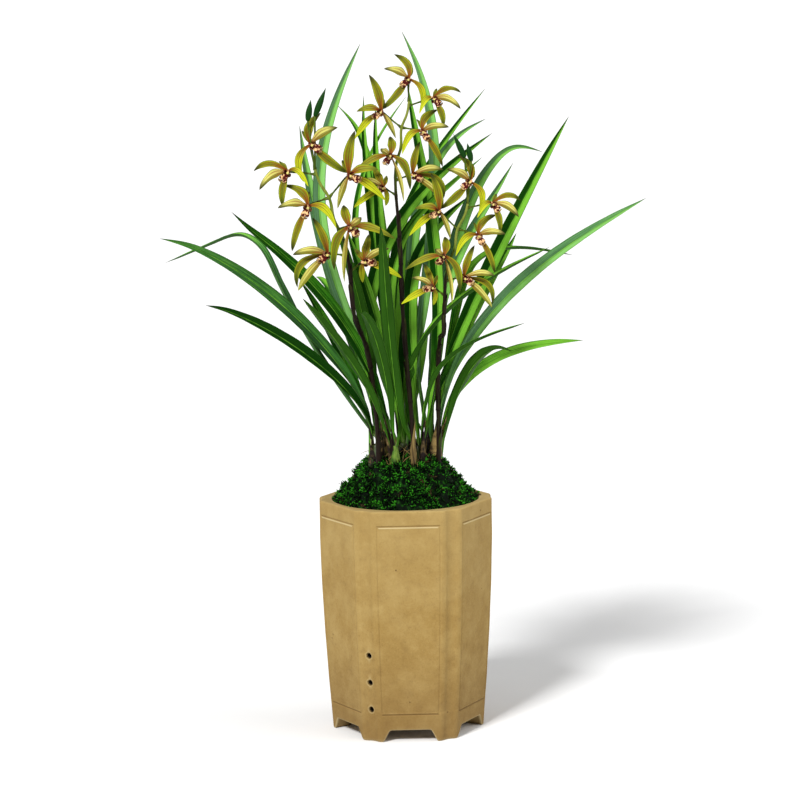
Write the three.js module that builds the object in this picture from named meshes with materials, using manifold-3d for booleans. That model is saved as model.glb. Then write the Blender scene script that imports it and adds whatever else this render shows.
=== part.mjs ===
// Potted orchid: a clump of eight shoots in a tall six-sided stoneware pot.
//
// Millimetres, +Z up.  The origin is on the pot's axis, on the surface that the six feet stand on.
// One face of the pot looks along -Y, so its corners lie at 0, 60, 120 ... degrees about Z.
// The plant is listed in a frame of its own that is turned a little in the pot.
// From the bottom up: the pot, a layer of drainage stones, the growing mix, a cushion of moss, the
// pseudobulbs half sunk in it, the leaves that stand on them and three flower spikes.  Each leaf is a
// piece of its own, and a spike is one piece with its flowers, as it grew.

import * as THREE from 'three';
import { mergeVertices } from 'three/addons/utils/BufferGeometryUtils.js';
import Module from 'manifold-3d';

const wasm = await Module();
wasm.setup();

// ---------------------------------------------------------------------------------- driving sizes

const GAP = 0.3;                  // left between pieces that touch
const SIDES = 24;                 // of everything that is round about the pot's axis

const POT_HEIGHT = 250;
const WALL_STEPS = 6;             // rows of facets that follow the sides' curve
const POT_APOTHEM = 85.8;         // axis to the middle of a face, at the widest
const CORNER_REACH = 92.2;        // axis to the flat that cuts off each corner
const FLUTE_WIDTH = 15;           // hollow that runs down the middle of that flat
const FLUTE_DEPTH = 2;
const BELLY_HEIGHT = 215;         // the sides draw in below this
const BELLY_DRAW = 0.122;         // by this share of the size, at the foot
const OPENING_RADIUS = 78.7;
const FLOOR_UNDERSIDE = 12.8;
const FLOOR_TOP = 20;
const FOOT_GAP_TOP = 44;          // opening between two feet, at its top and at the ground
const FOOT_GAP_BOTTOM = 58;
const FOOT_RING_INSIDE = 62;
const DRAIN_RADIUS = 12;
const WEEP_RADIUS = 3;
const WEEP_HEIGHTS = [35, 64.5, 94];
const WEEP_CORNERS = [0, 120, 240];
const PANEL_TOP = 234;            // incised lines that close each face's panel
const PANEL_BOTTOM = 30;
const PANEL_WIDTH = 66;           // at the pot's widest
const LINE_HEIGHT = 1.6;
const LINE_DEPTH = 0.8;

const PLANT_TURN = 2.2;           // of the plant in its pot, in degrees

const STONES_TOP = 45;
const MOSS_EDGE_BOTTOM = 236;
const MOUND = [[0, 296], [20, 295], [38, 291.5], [46, 285], [55, 272], [66, 260], [78.3, 246]];
const MIX_MOUND = [[0, 278], [40, 277], [52, 267], [64, 252], [74, 238]];

const BULB_BOTTOM = 278.3;
const BULB_TOP = 310;
const BULB_RADIUS = 10;
const BULB_SHOULDER = 8.6;        // radius of the flat top that the leaves stand on
const BULB_SIDES = 10;
const SOCKET_HEIGHT = 40;         // of the holes through the moss for bulbs and stems

const LEAF_LIFT = 1.2;            // of the middle of a leaf's foot over the bulb
const LEAF_SPACING = 2.6;         // between the leaves of one fan, at the base
const LEAF_THICKNESS = 0.9;
const LEAF_BASE_SHARE = 0.62;     // width at the base over the full width
const LEAF_STEPS = 12;
const LEAF_FOLD = 0.3;            // rise of the edges over the midrib, per half width

const STEM_RADIUS = 2.3;
const STEM_FOOT = 278.3;
const STEM_RISE = 50;             // upright stretch at the foot
const PEDICEL_RADIUS = 1.1;
const PEDICEL_BOW = 6;            // of a pedicel's middle, away from the viewer
const TEPAL_LENGTH = 33;
const TEPAL_WIDTH = 8.5;
const TEPAL_THICKNESS = 1.2;
const TEPAL_BOW = 3.3;            // of a tepal's middle, towards the viewer
const TEPAL_FOLD = 0.15;
const TEPAL_SWING = 0.6;          // how far a tepal leaves the spike's plane, as a share of what it could
const CENTRE_RADIUS = 5;
const LIP_RADIUS = 7;
const LIP_FORWARD = 6;
const LIP_REACH = 0.8;            // middle of the lip along the line from the flower's middle
const BUD_WIDTH = 6.4;
const BUD_THICKNESS = 5;
const BUD_FORWARD = 4;

// ------------------------------------------------------------------------------- finish of each piece

function finish(color, roughness, metalness = 0) {
  return () => new THREE.MeshStandardMaterial({ color, roughness, metalness });
}

const stoneware = finish(0xb89a66, 0.8);
const stones = finish(0x8d8274, 0.9);
const barkMix = finish(0x3d2c20, 0.95);
const moss = finish(0x1f4a16, 0.95);
const bulbSkin = finish(0x86a445, 0.5);
const leafGreen = finish(0x2f7a2a, 0.4);
const spikeGreen = finish(0x9a9a32, 0.5);

// ------------------------------------------------------------------------------------- solid tools

// A closed solid from a three.js geometry: its corners are merged, so that only positions count.
function solid(geometry) {
  const bare = geometry.index ? geometry.toNonIndexed() : geometry.clone();
  for (const name of Object.keys(bare.attributes)) {
    if (name !== 'position') bare.deleteAttribute(name);
  }
  const merged = mergeVertices(bare, 1e-4);
  const corners = merged.index.array;
  const kept = [];
  for (let i = 0; i < corners.length; i += 3) {
    const [a, b, c] = [corners[i], corners[i + 1], corners[i + 2]];
    if (a !== b && b !== c && c !== a) kept.push(a, b, c);
  }
  return new wasm.Manifold(new wasm.Mesh({
    numProp: 3,
    vertProperties: new Float32Array(merged.attributes.position.array),
    triVerts: new Uint32Array(kept),
  }));
}

function union(solids) {
  return solids.reduce((whole, next) => whole.add(next));
}

function difference(body, cutters) {
  return cutters.reduce((left, cutter) => left.subtract(cutter), body);
}

function geometryOf(body) {
  const mesh = body.getMesh();
  const geometry = new THREE.BufferGeometry();
  geometry.setAttribute('position', new THREE.BufferAttribute(new Float32Array(mesh.vertProperties), 3));
  geometry.setIndex(new THREE.BufferAttribute(new Uint32Array(mesh.triVerts), 1));
  geometry.computeVertexNormals();
  return geometry;
}

function turned(geometry, degrees) {
  return geometry.clone().rotateZ(THREE.MathUtils.degToRad(degrees));
}

// A solid of revolution about Z from [radius, height] pairs that start and end on the axis.
function revolved(profile, sides) {
  const points = profile.map(([radius, height]) => new THREE.Vector2(radius, height));
  return new THREE.LatheGeometry(points, sides).rotateX(Math.PI / 2);
}

function smoothstep(from, to, value) {
  return THREE.MathUtils.smoothstep(value, from, to);
}

// --------------------------------------------------------------------------------------------- pot

// The sides' size at a height, as a share of the widest: they draw in towards the foot in a soft curve.
function belly(height) {
  return 1 - BELLY_DRAW * Math.max(0, 1 - height / BELLY_HEIGHT) ** 1.6;
}

function cavityRadius(height) {
  return OPENING_RADIUS * belly(height);
}

// A hexagon whose corners are cut off flat, with a shallow flute down the middle of each flat.
function potOutline() {
  const flatHalf = (POT_APOTHEM / Math.cos(Math.PI / 6) - CORNER_REACH) * Math.sqrt(3);
  const corner = [
    [CORNER_REACH, -flatHalf],
    [CORNER_REACH, -FLUTE_WIDTH / 2],
    [CORNER_REACH - FLUTE_DEPTH, 0],
    [CORNER_REACH, FLUTE_WIDTH / 2],
    [CORNER_REACH, flatHalf],
  ];
  const points = [];
  for (let sixth = 0; sixth < 6; sixth += 1) {
    for (const [reach, across] of corner) {
      const point = new THREE.Vector2(reach, across);
      points.push(point.rotateAround(new THREE.Vector2(), sixth * Math.PI / 3));
    }
  }
  return new THREE.Shape(points);
}

function potWall() {
  const upright = { depth: POT_HEIGHT, steps: WALL_STEPS, bevelEnabled: false };
  const wall = new THREE.ExtrudeGeometry(potOutline(), upright);
  const position = wall.attributes.position;
  for (let i = 0; i < position.count; i += 1) {
    const size = belly(position.getZ(i));
    position.setXY(i, position.getX(i) * size, position.getY(i) * size);
  }
  return wall;
}

function potCavity() {
  const heights = [FLOOR_TOP, 70, 120, 170, BELLY_HEIGHT, POT_HEIGHT + 1];
  const side = heights.map((height) => [cavityRadius(height), height]);
  return revolved([[0, FLOOR_TOP], ...side, [0, POT_HEIGHT + 1]], SIDES);
}

// The tapered opening between two feet, from the axis out through the face that looks along +X.
function footGap() {
  const [top, bottom] = [FOOT_GAP_TOP / 2, FOOT_GAP_BOTTOM / 2];
  const slope = (bottom - top) / FLOOR_UNDERSIDE;
  const shape = new THREE.Shape([
    new THREE.Vector2(-bottom - slope, -1),
    new THREE.Vector2(bottom + slope, -1),
    new THREE.Vector2(top, FLOOR_UNDERSIDE),
    new THREE.Vector2(-top, FLOOR_UNDERSIDE),
  ]);
  const prism = new THREE.ExtrudeGeometry(shape, { depth: POT_APOTHEM + 5, bevelEnabled: false });
  return prism.rotateX(Math.PI / 2).rotateZ(Math.PI / 2);
}

function makePot() {
  const cutters = [solid(potCavity())];
  for (let face = 0; face < 6; face += 1) {
    const angle = 30 + face * 60;
    cutters.push(solid(turned(footGap(), angle)));
    for (const height of [PANEL_BOTTOM, PANEL_TOP]) {
      const apothem = POT_APOTHEM * belly(height);
      const width = PANEL_WIDTH * belly(height);
      const line = new THREE.BoxGeometry(2 * LINE_DEPTH, width, LINE_HEIGHT);
      cutters.push(solid(turned(line.translate(apothem, 0, height), angle)));
    }
  }
  const inside = FOOT_RING_INSIDE;
  const recess = new THREE.CylinderGeometry(inside, inside, FLOOR_UNDERSIDE + 1, SIDES);
  cutters.push(solid(recess.rotateX(Math.PI / 2).translate(0, 0, (FLOOR_UNDERSIDE - 1) / 2)));
  const drain = new THREE.CylinderGeometry(DRAIN_RADIUS, DRAIN_RADIUS, FLOOR_TOP, 16);
  cutters.push(solid(drain.rotateX(Math.PI / 2).translate(0, 0, FLOOR_TOP / 2 + 5)));
  for (const corner of WEEP_CORNERS) {
    for (const height of WEEP_HEIGHTS) {
      const hole = new THREE.CylinderGeometry(WEEP_RADIUS, WEEP_RADIUS, 60, 8).rotateZ(Math.PI / 2);
      cutters.push(solid(turned(hole.translate(POT_APOTHEM, 0, height), corner)));
    }
  }
  return difference(solid(potWall()), cutters);
}

// --------------------------------------------------------------------- what fills and tops the pot

function makeStones() {
  const [bottom, top] = [FLOOR_TOP + GAP, STONES_TOP];
  return solid(revolved([
    [0, bottom],
    [cavityRadius(bottom) - GAP, bottom],
    [cavityRadius(top) - GAP, top],
    [0, top],
  ], SIDES));
}

function makeMix() {
  const side = [STONES_TOP + GAP, 70, 120, 170, BELLY_HEIGHT, MOSS_EDGE_BOTTOM - GAP];
  const dome = MIX_MOUND.map(([radius, height]) => [radius, height - GAP]).reverse();
  return solid(revolved([
    [0, STONES_TOP + GAP],
    ...side.map((height) => [cavityRadius(height) - GAP, height]),
    ...dome,
  ], SIDES));
}

function makeMoss() {
  return solid(revolved([...MIX_MOUND, [78.3, MOSS_EDGE_BOTTOM], ...[...MOUND].reverse()], SIDES));
}

// ------------------------------------------------------------------------------------- pseudobulbs

// Where each shoot stands on the mound, and the direction of its fan of leaves, in degrees.
const SHOOTS = {
  left_front: { x: -31, y: -12, fan: 170 },
  left_back: { x: -22, y: 16, fan: 160 },
  middle_front: { x: -12, y: -30, fan: 175 },
  middle: { x: -2, y: -5, fan: 0 },
  right_inner: { x: 12, y: -26, fan: 10 },
  middle_back: { x: 5, y: 22, fan: 20 },
  right_front: { x: 31, y: -9, fan: 0 },
  right_back: { x: 30, y: 18, fan: 15 },
};

function makeBulb(shoot) {
  const profile = [
    [0, BULB_BOTTOM],
    [6, BULB_BOTTOM + 1],
    [BULB_RADIUS - 0.3, BULB_BOTTOM + 9],
    [BULB_RADIUS, BULB_BOTTOM + 22],
    [BULB_SHOULDER, BULB_TOP],
    [0, BULB_TOP],
  ];
  return solid(revolved(profile, BULB_SIDES).translate(shoot.x, shoot.y, 0));
}

// ------------------------------------------------------------------------------------------ blades

// A thin pointed blade along a curve, folded into a shallow V.  A four-sided tube is bent onto the
// curve: its four corners become the left edge, the groove, the right edge and the keel below.
function blade({ curve, steps, normalAt, halfWidthAt, thickness, foldAt }) {
  const tube = new THREE.CylinderGeometry(1, 1, 1, 4, steps, false);
  const position = tube.attributes.position;
  const corner = new THREE.Vector3();
  for (let i = 0; i < position.count; i += 1) {
    const [side, depth] = [position.getX(i), position.getZ(i)];
    const along = position.getY(i) + 0.5;
    const centre = curve.getPointAt(along);
    const tangent = curve.getTangentAt(along);
    const facing = normalAt(along);
    const normal = facing.clone().addScaledVector(tangent, -facing.dot(tangent)).normalize();
    const across = new THREE.Vector3().crossVectors(tangent, normal);
    const half = halfWidthAt(along);
    corner.copy(centre).addScaledVector(across, side * half);
    const rise = Math.abs(side) * foldAt(along) * half + depth * thickness / 2;
    position.setXYZ(i, ...corner.addScaledVector(normal, rise).toArray());
  }
  splitAlike(tube.index.array, steps);
  return tube;
}

// The quads of two of the blade's four sides are split along their other diagonal, so that its upper
// and its lower side are cut alike and don't pass through each other where the blade twists.
function splitAlike(corners, steps) {
  for (const side of [1, 3]) {
    for (let step = 0; step < steps; step += 1) {
      const first = 6 * (side * steps + step);
      const [a, b, d, , c] = corners.slice(first, first + 5);
      corners.set([a, b, c, a, c, d], first);
    }
  }
}

// ------------------------------------------------------------------------------------------ leaves

// One row per leaf: name, shoot, place in the fan, two points that draw the curve, [x, z] each, the
// tip, [x, y, z], the width, and the turn in degrees: 0 is a blade whose upper side looks up,
// 90 one whose upper side looks along -Y, and a negative turn looks towards +Y.
const LEAVES = [
  ['left_low', 'left_front', 1.5, [-32, 373], [-158, 463], [-209, -129, 476], 14, 59],
  ['left_long', 'left_front', 2.5, [-21, 366], [-159, 520], [-255, -24, 535], 15, 65],
  ['left_inner', 'left_back', 1.5, [-48, 335], [-42, 378], [-109, -10, 487], 13, 57],
  ['left_drooping', 'left_back', 2.5, [-198, 543], [-102, 562], [-251, 68, 500], 13, 3],
  ['left_tall', 'left_back', 0.5, [-55, 431], [-88, 509], [-104, 61, 645], 15, 75],
  ['left_back', 'left_back', -0.7, [-25, 400], [-75, 480], [-85, 175, 470], 14, 55],
  ['left_wide', 'middle_front', 1.5, [-40, 472], [-156, 533], [-180, -56, 564], 15, 68],
  ['left_front_short', 'middle_front', 2.5, [-32, 383], [-92, 456], [-112, -163, 485], 12, -40],
  ['crossing_arch', 'left_front', -0.5, [-54, 483], [-35, 549], [94, -29, 639], 15, 68],
  ['left_front_upright', 'left_front', -1.5, [-32, 420], [-55, 499], [-75, -70, 559], 13, -60],
  ['top_left', 'middle', -2.5, [-80, 503], [-125, 562], [-37, 72, 731], 15, 80],
  ['upper_left_dark', 'middle', -1.5, [-17, 448], [-29, 605], [-23, 42, 667], 12, 74],
  ['upper_right_low', 'middle', -0.5, [-29, 529], [-15, 530], [83, -31, 614], 12, 46],
  ['back_leaning', 'middle', 0.5, [-5, 390], [15, 465], [9, 45, 500], 16, 60],
  ['top_middle', 'middle', 1.5, [39, 570], [58, 641], [9, 89, 743], 14, 78],
  ['top_middle_low', 'right_inner', 2.5, [58, 476], [19, 600], [8, 6, 692], 14, 85],
  ['upper_left_bent', 'middle_back', -1.5, [-25, 377], [5, 616], [-59, 139, 662], 13, 68],
  ['upper_left_narrow', 'middle_back', -0.5, [-21, 441], [-40, 622], [-34, 74, 675], 11, 81],
  ['back_upright', 'middle_back', 1.7, [-2, 388], [-18, 437], [28, 145, 548], 15, 74],
  ['back_low', 'middle_back', 2.5, [15, 370], [30, 420], [38, 175, 400], 14, 50],
  ['upper_right_thin', 'middle_back', 0.5, [-34, 505], [4, 565], [106, 162, 677], 10, 54],
  ['front_middle', 'middle_front', -0.5, [10, 335], [-65, 557], [-59, -22, 540], 15, 113],
  ['front_left', 'middle_front', 0.5, [-18, 400], [-45, 470], [-55, -175, 470], 14, -55],
  ['front_leaning', 'right_inner', -1.5, [-20, 345], [-25, 530], [-32, -150, 555], 15, -70],
  ['right_dark', 'right_inner', 0.5, [3, 486], [-5, 506], [79, 62, 567], 16, 62],
  ['right_crossing', 'right_inner', -0.5, [-27, 418], [48, 479], [145, -98, 525], 13, 13],
  ['right_front_thin', 'right_inner', 1.5, [19, 396], [37, 424], [116, -129, 451], 9, 9],
  ['upper_thin', 'right_back', -2.5, [-53, 468], [-83, 561], [9, 39, 675], 8, 18],
  ['back_right', 'right_back', 0.5, [31, 378], [56, 460], [52, 161, 470], 15, 60],
  ['upper_right_broad', 'right_back', -1.5, [6, 446], [-9, 605], [100, 99, 647], 14, 71],
  ['right_arch', 'right_back', -0.5, [24, 439], [77, 664], [149, -6, 617], 15, 67],
  ['right_back', 'right_back', 2.5, [45, 410], [110, 480], [135, 120, 520], 14, 50],
  ['right_edge_on', 'right_back', 1.5, [73, 482], [50, 533], [195, 103, 496], 12, 5],
  ['right_front_leaning', 'right_front', 3.5, [55, 385], [78, 435], [100, -150, 425], 14, -55],
  ['right_arch_inner', 'right_front', -1.5, [20, 490], [74, 532], [116, -25, 607], 13, 60],
  ['right_tall', 'right_front', -0.5, [-1, 336], [146, 603], [177, -10, 654], 16, 63],
  ['right_long', 'right_front', 1.5, [41, 451], [180, 530], [250, -67, 571], 15, 59],
  ['right_low', 'right_front', 2.5, [48, 394], [113, 418], [185, -55, 422], 14, 46],
];

function leafWidthShare(along) {
  const base = LEAF_BASE_SHARE + (1 - LEAF_BASE_SHARE) * smoothstep(0, 0.3, along);
  const point = (1 - Math.max(0, (along - 0.45) / 0.55) ** 2) ** 0.8;
  return Math.max(base * point, 0.04);
}

function makeLeaf(shootName, place, rise, reach, tip, width, turn) {
  const shoot = SHOOTS[shootName];
  const fan = THREE.MathUtils.degToRad(shoot.fan);
  const fanDirection = new THREE.Vector3(Math.cos(fan), Math.sin(fan), 0);
  const end = new THREE.Vector3(...tip);
  const start = new THREE.Vector3(shoot.x, shoot.y, BULB_TOP + LEAF_LIFT);
  start.addScaledVector(fanDirection, place * LEAF_SPACING);
  const firstDepth = THREE.MathUtils.lerp(start.y, end.y, 0.15);
  const secondDepth = THREE.MathUtils.lerp(start.y, end.y, 0.6);
  const curve = new THREE.CubicBezierCurve3(
    start,
    new THREE.Vector3(rise[0], firstDepth, rise[1]),
    new THREE.Vector3(reach[0], secondDepth, reach[1]),
    end,
  );
  const inward = fanDirection.clone().multiplyScalar(place > 0 ? -1 : 1);
  const tilt = THREE.MathUtils.degToRad(turn);
  const outer = new THREE.Vector3(0, -Math.sin(tilt), Math.cos(tilt));
  return solid(blade({
    curve,
    steps: LEAF_STEPS,
    normalAt: (along) => inward.clone().lerp(outer, smoothstep(0, 0.45, along)),
    halfWidthAt: (along) => width / 2 * leafWidthShare(along),
    thickness: LEAF_THICKNESS,
    foldAt: () => LEAF_FOLD,
  }));
}

// ----------------------------------------------------------------------------------- flower spikes

// The flowers of one spike, in the spike's own plane: x to the side and z up from the top flower, and
// how far in front of the plane.  lip is where the lip hangs, and each tepal is [x, z] of its tip from
// the flower's middle, and 1 when it comes forward or -1 when it goes back.  All tepals have about
// one length, which sets how far they do.
const FLOWERS = [
  {
    at: [0, 0], depth: 0, lip: [-6, -5],
    tepals: [[-14, 25, -1], [-26, 11, 1], [12, -32, 1], [-28, -31, -1], [4, 14, -1]],
  },
  {
    at: [24, -20], depth: 6, lip: [9, -8],
    tepals: [[30, 6, -1], [27, -10, 1], [-14, -14, 1], [9, -28, 1], [4, 10, -1]],
  },
  {
    at: [12, -53], depth: 12, lip: [4, -6],
    tepals: [[18, 21, -1], [26, 4, 1], [-21, -23, 1], [21, -36, -1], [-3, 12, -1]],
  },
  {
    at: [2, -98], depth: 10, lip: [13, -7],
    tepals: [[7, 33, -1], [31, 5, 1], [31, -27, 1], [14, -30, -1], [2, 10, -1]],
  },
  {
    at: [-29, -33], depth: 2, lip: [-9, -6],
    tepals: [[-11, 37, -1], [-26, 2, 1], [-28, -28, 1], [15, -28, 1], [3, 14, -1]],
  },
  {
    at: [-21, -77], depth: 14, lip: [-5, -7],
    tepals: [[2, 17, -1], [-38, -18, 1], [20, -35, 1], [13, -49, -1], [-9, 8, 1]],
  },
  {
    at: [-28, -111], depth: 8, lip: [-12, -2],
    tepals: [[-10, 21, -1], [-24, 10, 1], [-30, -20, 1], [3, -19, 1], [5, 12, -1]],
  },
];

// The stem's line in the same plane, from the top flower down, and where each pedicel leaves it.
const STEM_LINE = [
  [0, -23], [-3, -38], [-8, -50], [-9, -70], [-13, -83], [-15, -98], [-14, -130], [-12, -156],
];
const PEDICEL_ROOTS = [[0, -23], [-1, -28], [-8, -50], [-14, -104], [-8, -50], [-12, -80], [-14, -120]];
const BUDS = [[[-8, 24], [-22, 47]], [[-1, 21], [-7, 39]]];

// The three spikes: where each stands, a point that its stem passes, the place of its top flower, its
// size, its lean in degrees in its own plane, and whether it is a mirror image.
const SPIKES = [
  {
    name: 'flower_spike_left', foot: [-30, -33], knee: [-46, -55, 430], top: [-98, -80, 634],
    size: 1.15, lean: 9, mirrored: true, buds: true,
  },
  {
    name: 'flower_spike_middle', foot: [6, -44], knee: [-4, -52, 460], top: [5, -60, 698],
    size: 1, lean: 0, mirrored: false, buds: false,
  },
  {
    name: 'flower_spike_right', foot: [34, -26], knee: [35, -60, 430], top: [64, -95, 594],
    size: 1, lean: -6.1, mirrored: false, buds: true,
  },
];

function tube(points, radius, sides, steps) {
  const path = new THREE.CatmullRomCurve3(points, false, 'centripetal');
  const ring = [];
  for (let side = 0; side < sides; side += 1) {
    const angle = 2 * Math.PI * side / sides;
    ring.push(new THREE.Vector2(radius * Math.cos(angle), radius * Math.sin(angle)));
  }
  const along = { extrudePath: path, steps, bevelEnabled: false };
  return new THREE.ExtrudeGeometry(new THREE.Shape(ring), along);
}

// A point of a spike's plane, [x, z], at a depth in front of it, in the part's own frame.
function placer(spike) {
  const lean = THREE.MathUtils.degToRad(spike.lean);
  const mirror = spike.mirrored ? -1 : 1;
  return ([x, z], forward = 0) => new THREE.Vector3(x * mirror, -forward, z)
    .multiplyScalar(spike.size)
    .applyAxisAngle(new THREE.Vector3(0, -1, 0), lean)
    .add(new THREE.Vector3(...spike.top));
}

function tepalWidthShare(along) {
  return Math.max(0.1, Math.sin(Math.PI * (0.12 + 0.86 * along)));
}

function tepal(centre, tip, front, size) {
  const middle = centre.clone().lerp(tip, 0.5).addScaledVector(front, TEPAL_BOW * size);
  const curve = new THREE.QuadraticBezierCurve3(centre, middle, tip);
  return solid(blade({
    curve,
    steps: 2,
    normalAt: () => front,
    halfWidthAt: (along) => TEPAL_WIDTH / 2 * size * tepalWidthShare(along),
    thickness: TEPAL_THICKNESS,
    foldAt: () => TEPAL_FOLD,
  }));
}

function knob(centre, radius) {
  return solid(new THREE.OctahedronGeometry(radius).translate(...centre.toArray()));
}

function makeFlower(place, flower, size) {
  const centre = place(flower.at, flower.depth);
  const front = place([0, 0], 1).sub(place([0, 0])).normalize();
  const beside = ([x, z], forward) => place([flower.at[0] + x, flower.at[1] + z], flower.depth + forward);
  const pieces = [knob(centre, CENTRE_RADIUS * size)];
  for (const [x, z, side] of flower.tepals) {
    const spare = Math.sqrt(Math.max(0, TEPAL_LENGTH ** 2 - x * x - z * z));
    pieces.push(tepal(centre, beside([x, z], side * TEPAL_SWING * spare), front, size));
  }
  const lip = beside(flower.lip, LIP_FORWARD);
  pieces.push(knob(centre.clone().lerp(lip, LIP_REACH), LIP_RADIUS * size));
  return union(pieces);
}

function stemRadius(spike) {
  return STEM_RADIUS * spike.size ** 0.5;
}

function makeSpike(spike) {
  const place = placer(spike);
  const upper = STEM_LINE.map((point) => place(point)).reverse();
  const foot = new THREE.Vector3(...spike.foot, STEM_FOOT);
  const knee = new THREE.Vector3(...spike.knee);
  const low = foot.clone().setZ(STEM_FOOT + STEM_RISE).lerp(knee, 0.08);
  const pieces = [solid(tube([foot, low, knee, ...upper], stemRadius(spike), 5, 14))];
  FLOWERS.forEach((flower, index) => {
    const root = place(PEDICEL_ROOTS[index]);
    const centre = place(flower.at, flower.depth);
    const bend = root.clone().lerp(centre, 0.5).add(place([0, 0], -PEDICEL_BOW)).sub(place([0, 0]));
    pieces.push(solid(tube([root, bend, centre], PEDICEL_RADIUS * spike.size, 3, 3)));
    pieces.push(makeFlower(place, flower, spike.size));
  });
  if (spike.buds) {
    for (const [root, end] of BUDS) {
      const [from, to] = [place(root, BUD_FORWARD), place(end, BUD_FORWARD)];
      pieces.push(solid(tube([place(STEM_LINE[0]), from.clone().lerp(to, 0.3)], PEDICEL_RADIUS, 5, 3)));
      pieces.push(solid(blade({
        curve: new THREE.LineCurve3(from, to),
        steps: 4,
        normalAt: () => new THREE.Vector3(0, -1, 0),
        halfWidthAt: (along) => BUD_WIDTH / 2 * Math.sin(Math.PI * (0.1 + 0.8 * along)),
        thickness: BUD_THICKNESS,
        foldAt: () => 0,
      })));
    }
  }
  return union(pieces);
}

// ---------------------------------------------------------------------------------------- assembly

const orchid = new THREE.Group();
const plant = new THREE.Group();
plant.rotation.z = THREE.MathUtils.degToRad(PLANT_TURN);
orchid.add(plant);

function addPiece(group, name, body, material) {
  const mesh = new THREE.Mesh(geometryOf(body), material());
  mesh.name = name;
  group.add(mesh);
}

// An upright hole through the moss, for a bulb or the foot of a stem.
function socket(x, y, radius, sides) {
  const hole = new THREE.CylinderGeometry(radius, radius, SOCKET_HEIGHT, sides).rotateX(Math.PI / 2);
  return solid(turned(hole.translate(x, y, BULB_BOTTOM - 2 * GAP + SOCKET_HEIGHT / 2), PLANT_TURN));
}

const shootNames = Object.keys(SHOOTS);
const sockets = [
  ...shootNames.map((name) => socket(SHOOTS[name].x, SHOOTS[name].y, BULB_RADIUS + GAP, BULB_SIDES)),
  ...SPIKES.map((spike) => socket(...spike.foot, stemRadius(spike) + 4 * GAP, 8)),
];

addPiece(orchid, 'pot', makePot(), stoneware);
addPiece(orchid, 'drainage_stones', makeStones(), stones);
addPiece(orchid, 'growing_mix', makeMix(), barkMix);
addPiece(orchid, 'moss_cushion', difference(makeMoss(), sockets), moss);
for (const name of shootNames) {
  addPiece(plant, `pseudobulb_${name}`, makeBulb(SHOOTS[name]), bulbSkin);
}
for (const [name, ...rest] of LEAVES) {
  addPiece(plant, `leaf_${name}`, makeLeaf(...rest), leafGreen);
}
for (const spike of SPIKES) {
  addPiece(plant, spike.name, makeSpike(spike), spikeGreen);
}

export default orchid;
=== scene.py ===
import math

import bpy
import numpy as np
from mathutils import Matrix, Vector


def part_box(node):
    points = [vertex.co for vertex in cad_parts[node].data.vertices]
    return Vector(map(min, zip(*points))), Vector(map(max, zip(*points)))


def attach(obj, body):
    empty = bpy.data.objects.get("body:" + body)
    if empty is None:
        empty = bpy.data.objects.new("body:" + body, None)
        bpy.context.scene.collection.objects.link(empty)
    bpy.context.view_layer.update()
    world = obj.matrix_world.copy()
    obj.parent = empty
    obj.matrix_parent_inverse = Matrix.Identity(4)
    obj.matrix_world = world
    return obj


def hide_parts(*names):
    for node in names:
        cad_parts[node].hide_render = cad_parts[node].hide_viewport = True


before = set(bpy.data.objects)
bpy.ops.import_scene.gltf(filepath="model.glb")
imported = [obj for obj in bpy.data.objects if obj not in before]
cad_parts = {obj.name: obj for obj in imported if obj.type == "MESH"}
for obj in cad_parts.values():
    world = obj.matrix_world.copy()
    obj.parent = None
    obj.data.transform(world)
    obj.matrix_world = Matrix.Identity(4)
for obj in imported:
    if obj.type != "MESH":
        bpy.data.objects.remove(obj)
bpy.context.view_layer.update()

bl_info = {
    "name": "Potted orchid",
    "version": (1, 0, 0),
    "blender": (4, 5, 0),
    "location": "3D View > Sidebar > Orchid",
    "description": "A flowering orchid in a tall six-sided stoneware pot, built round its packed frame",
    "category": "Object",
}

MM = 0.001
BODY = "root"
CORNERS = 6                       # of the pot
SIXTH = 2 * math.pi / CORNERS     # the turn from one corner to the next
POT_LOW, POT_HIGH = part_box("pot")
MOSS_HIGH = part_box("moss_cushion")[1]
FRONT = np.array([0.0, -1.0, 0.0])
UP = np.array([0.0, 0.0, 1.0])
PLANT_TURN = math.radians(2.2)    # of the plant in its pot, about the upright


# ------------------------------------------------------------------------------ sizes and colours

def length(name, description, default):
    return bpy.props.FloatProperty(name=name, description=description, default=default, unit="LENGTH",
                                   precision=5)


def share(name, description, default):
    return bpy.props.FloatProperty(name=name, description=description, default=default, subtype="FACTOR",
                                   min=0, max=4)


def colour(name, description, default):
    return bpy.props.FloatVectorProperty(name=name, description=description, default=default, size=3,
                                         min=0, max=1, subtype="COLOR")


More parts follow.
